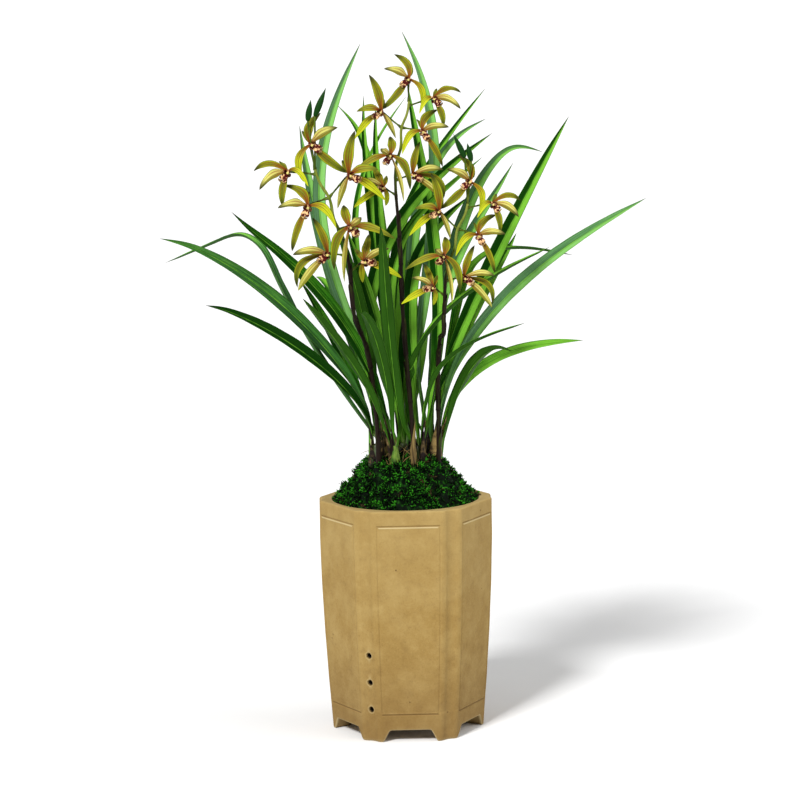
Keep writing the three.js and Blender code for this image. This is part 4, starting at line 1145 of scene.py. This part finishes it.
# One spike's flowers in its own plane, in millimetres: x to the side and z up from the top flower.
# at is a flower's middle, depth how far it stands in front of the plane, lip where its lip hangs.
# A tepal has the point that it passes, its tip, [x, z] each from the flower's middle, 1 when it comes
# forward or -1 when it goes back, its kind, and its width as a share of the broadest.
FLOWERS = [
    dict(at=(0, 0), depth=0, lip=(-6, -5), tepals=[
        ((-1, 14), (-14, 25), -1, "olive", 1.0), ((-12, 8), (-26, 11), 1, "cream", 1.05),
        ((13, -12), (12, -32), 1, "yellow", 0.85), ((-13, -17), (-28, -31), -1, "green", 1.0),
        ((3, 6), (5, 12), -1, "green", 0.5)]),
    dict(at=(24, -20), depth=6, lip=(9, -8), tepals=[
        ((15, 9), (30, 5), -1, "olive", 0.8), ((15, -1), (28, -11), 1, "cream", 1.0),
        ((-8, -1), (-15, -15), 1, "yellow", 0.75), ((8, -15), (10, -29), 1, "green", 0.85),
        ((3, 5), (6, 9), -1, "green", 0.5)]),
    dict(at=(12, -53), depth=12, lip=(4, -6), tepals=[
        ((4, 13), (18, 21), -1, "olive", 1.0), ((13, 5), (27, 4), 1, "cream", 0.95),
        ((-13, -4), (-21, -23), 1, "yellow", 0.9), ((13, -19), (21, -37), -1, "olive", 0.85),
        ((-1, 6), (-4, 11), -1, "green", 0.5)]),
    dict(at=(2, -98), depth=10, lip=(13, -7), tepals=[
        ((2, 17), (8, 34), -1, "olive", 0.95), ((16, 6), (31, 5), 1, "cream", 0.95),
        ((18, -13), (32, -28), 1, "pale", 0.95), ((25, -5), (32, -25), -1, "green", 0.85),
        ((1, 6), (1, 11), -1, "green", 0.5)]),
    dict(at=(-29, -33), depth=2, lip=(-9, -6), tepals=[
        ((-3, 19), (-12, 38), -1, "olive", 1.15), ((-12, 4), (-26, 1), 1, "rusty", 0.95),
        ((-15, -11), (-28, -28), 1, "yellow", 0.95), ((8, -12), (15, -28), -1, "pale", 0.7),
        ((2, 7), (3, 13), -1, "green", 0.6)]),
    dict(at=(-21, -77), depth=14, lip=(-5, -7), tepals=[
        ((2, 9), (1, 18), -1, "olive", 1.1), ((-18, -4), (-38, -18), 1, "rusty", 0.9),
        ((14, -12), (20, -36), 1, "green", 1.05), ((9, -24), (13, -48), -1, "pale", 0.55),
        ((-7, 4), (-11, 8), 1, "cream", 1.0)]),
    dict(at=(-28, -111), depth=8, lip=(-12, -2), tepals=[
        ((-5, 11), (-10, 22), -1, "olive", 0.95), ((-12, 7), (-24, 9), 1, "cream", 0.85),
        ((-16, -8), (-31, -20), 1, "yellow", 0.95), ((3, -9), (3, -20), -1, "yellow", 0.75),
        ((2, 6), (5, 11), -1, "rusty", 0.6)]),
]
STEM_LINE = [(0, -23), (-3, -38), (-8, -50), (-9, -70), (-13, -83), (-15, -98), (-14, -130), (-12, -156)]
PEDICEL_ROOTS = [(0, -23), (-1, -28), (-8, -50), (-14, -104), (-8, -50), (-12, -80), (-14, -120)]
BUDS = [((-8, 24), (-22, 47)), ((-1, 21), (-7, 39))]

# Where each spike stands, a point that its stem passes, the place of its top flower, its size, its lean
# in degrees in its own plane, whether it is a mirror image and has buds, and how dry its lowest sheath is.
SPIKES = {
    "left": dict(foot=(-30, -33), knee=(-46, -55, 430), top=(-98, -80, 634), size=1.15, lean=9,
                 mirrored=True, buds=True, dry=0.0),
    "middle": dict(foot=(6, -44), knee=(-4, -52, 460), top=(5, -60, 698), size=1, lean=0,
                   mirrored=False, buds=False, dry=0.6),
    "right": dict(foot=(34, -26), knee=(35, -60, 430), top=(64, -95, 594), size=1, lean=-6.1,
                  mirrored=False, buds=True, dry=0.0),
}
STEM_FOOT = 279                   # millimetres above the ground
# the places of a stem's nodes, as shares of its length: the first six carry a sheath
STEM_NODES = np.array([0.035, 0.2, 0.33, 0.46, 0.57, 0.64, 0.75, 0.8, 0.88, 0.93])
STEM_SHEATHS = 6
TEPAL_REACH = 33                  # length of a tepal, which sets how far it leaves the spike's plane
TEPAL_SWING = 0.6                 # share of the way out of the plane that a tepal takes
TEPAL_BOW = 3.3                   # of a tepal's middle, towards the front
TEPAL_LINES = 4                   # rust-brown lines across a tepal
TEPAL_LINES_FROM = 1.571          # radians: a quarter turn puts a line on the middle
# for each kind: yellow, cream (with painted light and painted shade on a petal's two halves), green, rust and
# dark tip, from 0 to 1
TEPAL_KINDS = {
    "olive": (0.10, 0.0, 0.15, 0.70, 0.9),
    "green": (0.10, 0.0, 0.85, 0.15, 0.8),
    "yellow": (0.95, 0.0, 0.0, 0.50, 0.0),
    "cream": (0.25, 0.9, 0.2, 0.45, 0.9),
    "pale": (0.35, 0.75, 0.4, 0.35, 0.15),
    "rusty": (0.25, 0.1, 0.1, 0.95, 0.6),
}


def planted(point):
    """A point of the plant's own frame in millimetres, turned with the plant, in metres."""
    x, y, z = point
    across, ahead = math.cos(PLANT_TURN), math.sin(PLANT_TURN)
    return np.array([x * across - y * ahead, x * ahead + y * across, z]) * MM


def placer(spike):
    """Maps a point of a spike's plane, [x, z] in millimetres and a depth in front of it, to metres."""
    lean = math.radians(spike["lean"])
    flip = -1 if spike["mirrored"] else 1
    top = np.array(spike["top"], float)

    def place(point, forward=0.0):
        x, z = point[0] * flip * spike["size"], point[1] * spike["size"]
        turned = (x * math.cos(lean) - z * math.sin(lean), -forward * spike["size"],
                  z * math.cos(lean) + x * math.sin(lean))
        return planted(top + turned)

    return place


def tepal_finish(plant):
    """Olive, green or yellow along the tepal, cream with painted light on a petal's upper half and painted
    shade on its lower half, with rust-brown lines and an orange-brown base, a dark middle line, dark margins
    and a darker point."""
    petal = Finish("tepal", roughness=0.5, specular=0.1)
    grain = petal.grain_uv()
    along, across = petal.part_of(grain, 0), petal.number("SUBTRACT", petal.part_of(grain, 1), 0.5)
    away = petal.number("MULTIPLY", petal.number("ABSOLUTE", across), 2.0)
    threads = petal.noise(petal.stretch(grain, (2.5, 24, 1)), 1, 3, 0.6)
    clouds = petal.noise(petal.place(), 190, 3)
    tint = petal.mix(petal.mark("green"), plant.tepal_olive, plant.tepal_green)
    tint = petal.mix(petal.ramp(clouds, 0.4, 0.7, 0, 0.5), tint, plant.tepal_green)
    gold = petal.number("MULTIPLY", petal.mark("yellow"), petal.ramp(along, 0.15, 0.6, 0.25, 1))
    tint = petal.mix(gold, tint, plant.tepal_yellow)
    tint = petal.mix(petal.ramp(away, 0.5, 0.85, 0, 0.45), tint, plant.tepal_yellow)
    # painted light: cream on the half of a petal that the flip mark turns to the light; painted shade: dark
    # on the other half
    side = petal.number("MULTIPLY", across, petal.mark("flip"))
    lit = petal.number("MULTIPLY", petal.mark("cream"), petal.ramp(side, -0.12, 0.06, 0.15, 0.9))
    tint = petal.mix(lit, tint, plant.tepal_cream_and_lit)
    shaded = petal.number("MULTIPLY", petal.mark("cream"), petal.ramp(side, 0.02, -0.16))
    tint = petal.mix(petal.number("MULTIPLY", shaded, 0.6), tint, plant.tepal_tip_and_shade)
    rust = petal.number("MULTIPLY", petal.mark("rust"), petal.ramp(along, 0.5, 0.08, 0, 1))
    rust = petal.number("MULTIPLY", rust, petal.ramp(away, 0.95, 0.3, 0.35, 1))
    rust = petal.number("MAXIMUM", rust, petal.ramp(along, 0.22, 0.04, 0, 0.85))
    tint = petal.mix(rust, tint, plant.tepal_rust)
    wobble = petal.number("MULTIPLY", petal.number("SUBTRACT", threads, 0.5), 0.9)
    phase = petal.number("ADD", petal.number("MULTIPLY", across, 2 * math.pi * TEPAL_LINES), TEPAL_LINES_FROM)
    lines = petal.ramp(petal.number("ADD", petal.number("SINE", phase), wobble), 0.4, 0.95)
    lines = petal.number("MULTIPLY", lines, petal.ramp(along, 1.05, 0.25, 0, 0.95))
    tint = petal.mix(petal.number("MULTIPLY", lines, petal.ramp(away, 0.95, 0.6)), tint, plant.tepal_rust)
    tint = petal.mix(petal.ramp(away, 0.14, 0.03, 0, 0.5), tint, plant.tepal_tip_and_shade)
    tint = petal.mix(petal.ramp(away, 0.84, 0.96, 0, 0.8), tint, plant.tepal_tip_and_shade)
    tip = petal.number("MULTIPLY", petal.mark("dark_tip"), petal.ramp(along, 0.66, 0.96))
    tint = petal.mix(tip, tint, plant.tepal_tip_and_shade)
    under = petal.number("SUBTRACT", 1.0, petal.mark("upper"))
    tint = petal.mix(petal.number("MULTIPLY", under, 0.45), tint, plant.tepal_green)
    petal.colour(tint)
    petal.bump(threads, 0.25 * MM)
    return petal.material


def lip_finish(plant):
    """Cream ground with maroon blotches, plain cream where mark "plain" is 1, and maroon where mark "dark" is
    1: on the side lobes their own colour, in the throat painted shade.
    """
    lip = Finish("lip", roughness=0.5, specular=0.1)
    place = lip.place()
    blotches = lip.cells(place, 290)
    clouds = lip.noise(place, 520, 2)
    edge = lip.number("ADD", blotches, lip.ramp(clouds, 0.3, 0.7, -0.25, 0.25))
    stain = lip.number("MULTIPLY", lip.ramp(edge, 0.66, 0.56), lip.number("SUBTRACT", 1.0, lip.mark("plain")))
    tint = lip.mix(lip.ramp(clouds, 0.4, 0.7, 0, 0.4), plant.lip_cream, plant.tepal_rust)
    tint = lip.mix(lip.mark("plain"), tint, plant.tepal_cream_and_lit)
    tint = lip.mix(stain, tint, plant.lip_maroon)
    tint = lip.mix(lip.mark("dark"), tint, plant.lip_maroon)
    lip.colour(tint)
    lip.bump(clouds, 0.25 * MM)
    return lip.material


def stem_finish(plant):
    """Mark "ripe" goes from 0, olive green, to 1, dark brown, mark "green" to dark green, as on the buds,
    and mark "dry" to straw."""
    stem = Finish("flower_stem", roughness=0.5, specular=0.1)
    streaks = stem.noise(stem.place((420, 420, 30)), 1, 4)
    ripe = stem.number("ADD", stem.mark("ripe"), stem.ramp(streaks, 0.3, 0.7, -0.2, 0.2))
    tint = stem.mix(stem.ramp(ripe, 0.05, 0.5), plant.stem_green, plant.tepal_green)
    tint = stem.mix(stem.ramp(ripe, 0.35, 0.9), tint, plant.bark)
    tint = stem.mix(stem.mark("green"), tint, plant.leaf_dark)
    dry = stem.number("MULTIPLY", stem.mark("dry"), stem.ramp(streaks, 0.65, 0.4))
    tint = stem.mix(dry, tint, plant.straw)
    stem.colour(tint)
    stem.bump(streaks, 0.2 * MM)
    return stem.material


def make_tepal(shell, plant, base, via, tip, front, size, kind, width, flip, seed):
    """A lanceolate blade on the parabola through base, via and tip, folded a little and wavy at the
    edges.  Its half width follows (0.3 + 0.7 smoothstep(0, 0.5)) * (1 - s^2.6)^0.75 along its length s."""
    random = np.random.default_rng(seed)
    s = np.linspace(0, 1, 26)
    bend = 2 * via - (base + tip) / 2
    path = ((1 - s) ** 2)[:, None] * base + (2 * s * (1 - s))[:, None] * bend + (s ** 2)[:, None] * tip
    half = plant.tepal_width / 2 * size * width * (0.3 + 0.7 * smoothstep(0, 0.5, s)) * (1 - s ** 2.6) ** 0.75
    half = np.maximum(half, 0.12 * MM)
    facing = front + 0.45 * UP + random.uniform(-0.15, 0.15, 3)
    wave = 0.24 * half * np.sin(s * random.uniform(7, 11) + random.uniform(0, 6))
    fold = 0.7 - 0.25 * s + random.uniform(-0.06, 0.06)
    grid, t, upper = blade(path, facing, half, fold, 0.9 * MM * size, cup=0.12, keel=0.25 * MM, sides=11,
                           wave=wave)
    yellow, cream, green, rust, dark_tip = TEPAL_KINDS[kind]
    shell.add_rings(grid, (s[:, None], (t + 1) / 2), yellow=yellow, cream=cream, green=green, rust=rust,
                    dark_tip=dark_tip, upper=upper, flip=flip)


def make_lip(shell, centre, out, front, size, seed):
    """The lip's middle lobe runs forward and curls back under; two side lobes stand up beside the
    column, a short rod that leans over them and ends in a pale cap, and a dark rod fills the throat as
    painted shade.

    The points are [forward, down, to the side] in lip units of 0.8 mm times the flower's size."""
    random = np.random.default_rng(seed)
    aside = np.cross(front, out)
    lip_unit = 0.8 * size * MM

    def line(points, rings):
        return spline([centre + (front * f + out * d + aside * s) * lip_unit for f, d, s in points], rings)

    s = np.linspace(0, 1, 18)
    path = line([(1, 1, 0), (5, 4, 0), (7.5, 8, 0), (6, 12.5, 0), (2.5, 14.5, 0)], len(s))
    half = np.interp(s, (0, 0.25, 0.6, 0.85, 1), (1.8, 3.2, 4.9, 4.0, 0.6)) * lip_unit
    wave = 0.9 * lip_unit * np.sin(s * 17 + random.uniform(0, 6)) * s
    grid, t, upper = blade(path, front * 0.6 - out, half, 0.25, 0.8 * lip_unit, cup=-0.2, sides=11, wave=wave)
    shell.add_rings(grid, (s[:, None], (t + 1) / 2), plain=0.25 * (1 - upper), dark=0.0)

    s = np.linspace(0, 1, 12)
    half = np.interp(s, (0, 0.5, 1), (1.4, 2.8, 0.4)) * lip_unit
    for side in (-1, 1):
        path = line([(1, 1, side * 2), (4, 2.6, side * 4.6), (7.5, 3.6, side * 3.6)], len(s))
        inward = -side * aside + 0.2 * front
        grid, t, upper = blade(path, inward, half, 0.1, 0.7 * lip_unit, cup=0.25, sides=9)
        shell.add_rings(grid, (0.0, (t + 1) / 2), plain=0.0, dark=0.4 + 0.4 * (1 - upper))

    s = np.linspace(0, 1, 16)
    path = line([(-0.5, -1, 0), (4, -1.5, 0), (8, 0.2, 0), (10, 2.6, 0)], len(s))
    radius = np.interp(s, (0, 0.3, 0.75, 0.92, 1), (1.6, 1.7, 1.3, 1.6, 0.4)) * lip_unit
    shell.add_rings(rod(path, radius, 10, facing=aside), (s[:, None], 0.0),
                    plain=smoothstep(0.75, 0.9, s)[:, None] * 0.8, dark=0.0)
    # painted shade: a dark rod in the throat that stands for the shade inside it
    path = line([(0.5, 1, 0), (4, 0.8, 0), (8, 2.2, 0)], 10)
    shell.add_rings(rod(path, np.linspace(1.7, 1.0, 10) * lip_unit, 8, facing=aside), (0.0, 0.0),
                    plain=0.0, dark=1.0)


def add_stem(stems, plant, spike, place):
    """A rod from the moss through the knee and along the spike's own line, with its radius times
    1 + 0.14 exp(-((s - node) / 0.006)^2) at each node, and a thin sheath above each of the lower ones."""
    foot, knee = planted([*spike["foot"], STEM_FOOT]), planted(spike["knee"])
    low = foot + UP * 50 * MM + (knee - foot) * np.array([0.08, 0.08, 0])
    path = spline([foot, low, knee, *(place(point) for point in reversed(STEM_LINE))], 150)
    s = np.linspace(0, 1, len(path))
    swell = 1 + 0.14 * np.exp(-((s[:, None] - STEM_NODES) / 0.006) ** 2).sum(axis=1)
    taper = np.interp(s, (0, 0.5, 1), (1.0, 0.85, 0.55))
    radius = plant.stem_radius * spike["size"] ** 0.5 * taper * swell
    ripe = np.interp(s, (0, 0.72, 0.84, 1), (1.0, 0.95, 0.35, 0.1))
    stems.add_rings(rod(path, radius, 12), (s[:, None] * 10, 0.0), ripe=ripe[:, None], green=0.0, dry=0.0)
    for number, at in enumerate(STEM_NODES[:STEM_SHEATHS]):
        first, rings = int(at * len(path)), 20 - 2 * number
        held = slice(first, first + rings)
        part = np.linspace(0, 1, rings)
        turn = number * 2.6
        facing = np.array([math.cos(turn), math.sin(turn), 0.1])
        reach = radius[held] + 0.5 * MM + 1.2 * MM * part ** 2
        grid, t = wrap(path[held], facing, reach, np.radians(165) * (1 - part ** 1.6) + 0.08, 0.3 * MM)
        stems.add_rings(grid, (part[:, None], (t + 1) / 2), ripe=1.0 - 0.12 * part[:, None], green=0.0,
                        dry=0.0 if number else spike["dry"])


def add_pedicel(stems, root, centre, front, size):
    """The stalk of one flower, a rod that bends back on its way from the stem, and the small folded
    bract at its root."""
    bend = (root + centre) / 2 - front * 6 * size * MM
    path = spline([root, bend, centre - front * 1.5 * MM], 20)
    s = np.linspace(0, 1, len(path))
    radius = np.interp(s, (0, 0.4, 0.85, 1), (0.85, 0.9, 1.5, 1.2)) * size ** 0.5 * MM
    ripe = np.interp(s, (0, 1), (0.45, 0.75))
    stems.add_rings(rod(path, radius, 8), (s[:, None], 0.0), ripe=ripe[:, None], green=0.0, dry=0.0)
    way = unit(bend - root)
    s = np.linspace(0, 1, 10)
    path = root + way * (s * 9 * size * MM)[:, None] - front * (2.2 * MM * np.sin(s * 1.5))[:, None]
    half = 1.7 * MM * size * (1 - s ** 1.5) + 0.1 * MM
    grid, t, _ = blade(path, -front + way * 0.1, half, 0.5, 0.35 * MM)
    stems.add_rings(grid, (s[:, None], (t + 1) / 2), ripe=0.55, green=0.0, dry=0.0)


def add_tepals(petals, plant, flower, place, front, size, seed):
    """A tepal's tip stands out of the spike's plane by a share of what the tip's place in that plane
    leaves over of a tepal's length."""
    at, depth = np.array(flower["at"]), flower["depth"]
    for number, (via, tip, way_out, kind, width) in enumerate(flower["tepals"]):
        spare = TEPAL_REACH ** 2 - tip[0] ** 2 - tip[1] ** 2
        swing = way_out * TEPAL_SWING * math.sqrt(max(0.0, spare))
        base = place(at + np.array(tip) * 0.02, depth + 0.5)
        via_point = place(at + via, depth + swing / 2 + TEPAL_BOW)
        tip_point = place(at + tip, depth + swing)
        # flip picks the half of a petal that gets the painted light; the other half gets the painted shade
        flip = 1.0 if np.cross(tip_point - base, front)[2] > 0 else -1.0
        make_tepal(petals, plant, base, via_point, tip_point, front, size, kind, width, flip, seed + number)


def add_buds(stems, place, front, size):
    """Closed buds on short stalks over the top flower, with radius 3.1 sin(pi (0.12 + 0.88 s)^0.8) mm."""
    join = place(STEM_LINE[0])
    for root, end in BUDS:
        start, tip = place(root, 4), place(end, 4)
        path = spline([join, (join + start) / 2 - front * 1 * MM, start], 10)
        stems.add_rings(rod(path, np.full(10, 1.0 * MM), 6), (0.0, 0.0), ripe=0.5, green=0.2, dry=0.0)
        s = np.linspace(0, 1, 20)
        path = start + (tip - start) * s[:, None]
        thick = 3.1 * MM * size ** 0.5 * np.sin(math.pi * (0.12 + 0.88 * s) ** 0.8)
        grid = rod(path, np.maximum(thick, 0.1 * MM), 12, flat=0.85)
        stems.add_rings(grid, (s[:, None], 0.0), ripe=0.1, green=1.0, dry=0.0)


def make_spike(plant, name, spike, finishes):
    """A stem with sheaths, the pedicels that leave it, buds and seven flowers, one mesh for each finish."""
    place, size = placer(spike), spike["size"]
    front = unit(place((0, 0), 1) - place((0, 0)))
    stems, petals, lips = Shell(), Shell(), Shell()
    add_stem(stems, plant, spike, place)
    for index, (flower, root) in enumerate(zip(FLOWERS, PEDICEL_ROOTS)):
        centre = place(flower["at"], flower["depth"])
        add_pedicel(stems, place(root), centre, front, size)
        add_tepals(petals, plant, flower, place, front, size, seed=1000 * len(name) + 10 * index)
        down = place(np.array(flower["at"]) + flower["lip"]) - place(flower["at"])
        make_lip(lips, centre + front * 1 * MM, unit(down), front, size, seed=50 * len(name) + index)
    if spike["buds"]:
        add_buds(stems, place, front, size)
    stem, tepal, lip = finishes
    stems.piece(f"{name}_spike_stem", stem, "flower_spike", [f"flower_spike_{name}"])
    petals.piece(f"{name}_spike_tepals", tepal, "flower_spike")
    lips.piece(f"{name}_spike_lips", lip, "flower_spike")


# ------------------------------------------------------------------------------------------- stage

CAMERA_PLACE = (-0.0964, -3.0841, 0.82)
CAMERA_TURN = math.radians(-1.79)   # about the upright, from looking along +Y
CAMERA_PITCH = 0.1496             # below the horizon, in radians
CAMERA_ROLL = 0.0134
CAMERA_FAR = 3000                 # metres that it sees, to beyond the floor's end
PICTURE = 800                     # pixels along the image's side
FOCAL_PIXELS = 2925.49
AXIS_ASIDE = 4.05                 # pixels from the image's middle to the optical axis
SENSOR = 36.0
FLOOR_HALF = 900.0                # metres, so that no edge of it shows
FLOOR_GREYS = ((0.84, 0.84, 0.84), (0.87, 0.87, 0.87))
SKY_STRENGTH = 0.45
# for each sun: its strength, its turn, and the angle that it fills, in degrees
SUNS = {
    "key_sun": (3.4, (48, 0, -30), 12),
    "fill_sun": (1.3, (62, 0, 75), 60),
}


def make_floor():
    """A flat pale square under the pot."""
    edge = FLOOR_HALF
    mesh = bpy.data.meshes.new("floor")
    mesh.from_pydata([(-edge, -edge, 0), (edge, -edge, 0), (edge, edge, 0), (-edge, edge, 0)], [],
                     [(0, 1, 2, 3)])
    paper = Finish("floor_paper", roughness=0.9, specular=0.1)
    paper.colour(paper.mix(paper.ramp(paper.noise(paper.place(), 3, 3), 0.3, 0.7), *FLOOR_GREYS))
    mesh.materials.append(paper.material)
    floor = bpy.data.objects.new("floor", mesh)
    bpy.context.scene.collection.objects.link(floor)


def add_sun(name, strength, turn, spread):
    """A sun lamp that shines down its own -Z, turned about X, Y and then Z."""
    data = bpy.data.lights.new(name, "SUN")
    data.energy = strength
    data.angle = math.radians(spread)
    lamp = bpy.data.objects.new(name, data)
    lamp.rotation_euler = [math.radians(a) for a in turn]
    bpy.context.scene.collection.objects.link(lamp)


def add_camera(scene):
    """The camera at the photo's place: turned about the upright, tipped down, and rolled a little."""
    data = bpy.data.cameras.new("camera")
    data.sensor_width = SENSOR
    data.lens = FOCAL_PIXELS * SENSOR / PICTURE
    data.shift_x = -AXIS_ASIDE / PICTURE
    data.clip_end = CAMERA_FAR
    camera = bpy.data.objects.new("camera", data)
    camera.location = CAMERA_PLACE
    camera.rotation_mode = "QUATERNION"
    look = Matrix.Rotation(CAMERA_TURN, 3, "Z") @ Matrix.Rotation(math.pi / 2 - CAMERA_PITCH, 3, "X")
    camera.rotation_quaternion = (look @ Matrix.Rotation(-CAMERA_ROLL, 3, "Z")).to_quaternion()
    scene.collection.objects.link(camera)
    scene.camera = camera


def make_stage(scene):
    """A wide pale floor, an even white sky, a broad soft sun from the upper left, a wider one from the
    right, and the camera."""
    make_floor()
    world = bpy.data.worlds.new("studio")
    scene.world = world
    world.use_nodes = True
    sky = world.node_tree.nodes["Background"]
    sky.inputs["Color"].default_value = (1, 1, 1, 1)
    sky.inputs["Strength"].default_value = SKY_STRENGTH
    for name, (strength, turn, spread) in SUNS.items():
        add_sun(name, strength, turn, spread)
    add_camera(scene)
    scene.view_settings.view_transform = "Standard"
    scene.view_settings.look = "None"


# ------------------------------------------------------------------------------- operators and panel

class ORCHID_OT_stage(bpy.types.Operator):
    """Add the pale floor, the soft light and the camera"""
    bl_idname = "orchid.stage"
    bl_label = "Stage"

    def execute(self, context):
        make_stage(context.scene)
        return {"FINISHED"}


class ORCHID_OT_pot(bpy.types.Operator):
    """Make the stoneware pot"""
    bl_idname = "orchid.pot"
    bl_label = "Pot"

    def execute(self, context):
        make_pot(context.scene.orchid_pot)
        return {"FINISHED"}


class ORCHID_OT_fillings(bpy.types.Operator):
    """Finish the drainage stones and the growing mix"""
    bl_idname = "orchid.fillings"
    bl_label = "Stones and growing mix"

    def execute(self, context):
        make_fillings()
        return {"FINISHED"}


class ORCHID_OT_moss(bpy.types.Operator):
    """Make the moss cushion and its leafy tips"""
    bl_idname = "orchid.moss"
    bl_label = "Moss"

    def execute(self, context):
        make_moss(context.scene.orchid_pot)
        return {"FINISHED"}


class ORCHID_OT_bulbs(bpy.types.Operator):
    """Make the pseudobulbs with their dry sheaths"""
    bl_idname = "orchid.bulbs"
    bl_label = "Pseudobulbs"

    def execute(self, context):
        make_bulbs(context.scene.orchid_plant)
        return {"FINISHED"}


class ORCHID_OT_leaves(bpy.types.Operator):
    """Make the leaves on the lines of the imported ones"""
    bl_idname = "orchid.leaves"
    bl_label = "Leaves"

    def execute(self, context):
        make_leaves(context.scene.orchid_plant)
        return {"FINISHED"}


class ORCHID_OT_spikes(bpy.types.Operator):
    """Make the three flower spikes"""
    bl_idname = "orchid.spikes"
    bl_label = "Flower spikes"

    def execute(self, context):
        plant = context.scene.orchid_plant
        finishes = (stem_finish(plant), tepal_finish(plant), lip_finish(plant))
        for name, spike in SPIKES.items():
            make_spike(plant, name, spike, finishes)
        return {"FINISHED"}


STEPS = (ORCHID_OT_stage, ORCHID_OT_pot, ORCHID_OT_fillings, ORCHID_OT_moss, ORCHID_OT_bulbs,
         ORCHID_OT_leaves, ORCHID_OT_spikes)


class ORCHID_PT_panel(bpy.types.Panel):
    """Lists the steps that build the orchid"""
    bl_idname = "ORCHID_PT_panel"
    bl_label = "Potted orchid"
    bl_space_type = "VIEW_3D"
    bl_region_type = "UI"
    bl_category = "Orchid"

    def draw(self, context):
        for step in STEPS:
            self.layout.operator(step.bl_idname)
        for looks in (context.scene.orchid_pot, context.scene.orchid_plant):
            box = self.layout.box()
            for name in looks.__annotations__:
                box.prop(looks, name)


CLASSES = (OrchidPotLooks, OrchidPlantLooks, *STEPS, ORCHID_PT_panel)


def register():
    for made in CLASSES:
        bpy.utils.register_class(made)
    bpy.types.Scene.orchid_pot = bpy.props.PointerProperty(type=OrchidPotLooks)
    bpy.types.Scene.orchid_plant = bpy.props.PointerProperty(type=OrchidPlantLooks)


def unregister():
    del bpy.types.Scene.orchid_pot
    del bpy.types.Scene.orchid_plant
    for made in reversed(CLASSES):
        bpy.utils.unregister_class(made)


def main():
    """Builds the orchid with its operators."""
    register()
    bpy.ops.orchid.stage()
    bpy.ops.orchid.pot()
    bpy.ops.orchid.fillings()
    bpy.ops.orchid.moss()
    bpy.ops.orchid.bulbs()
    bpy.ops.orchid.leaves()
    bpy.ops.orchid.spikes()


if __name__ == "__main__":
    main()
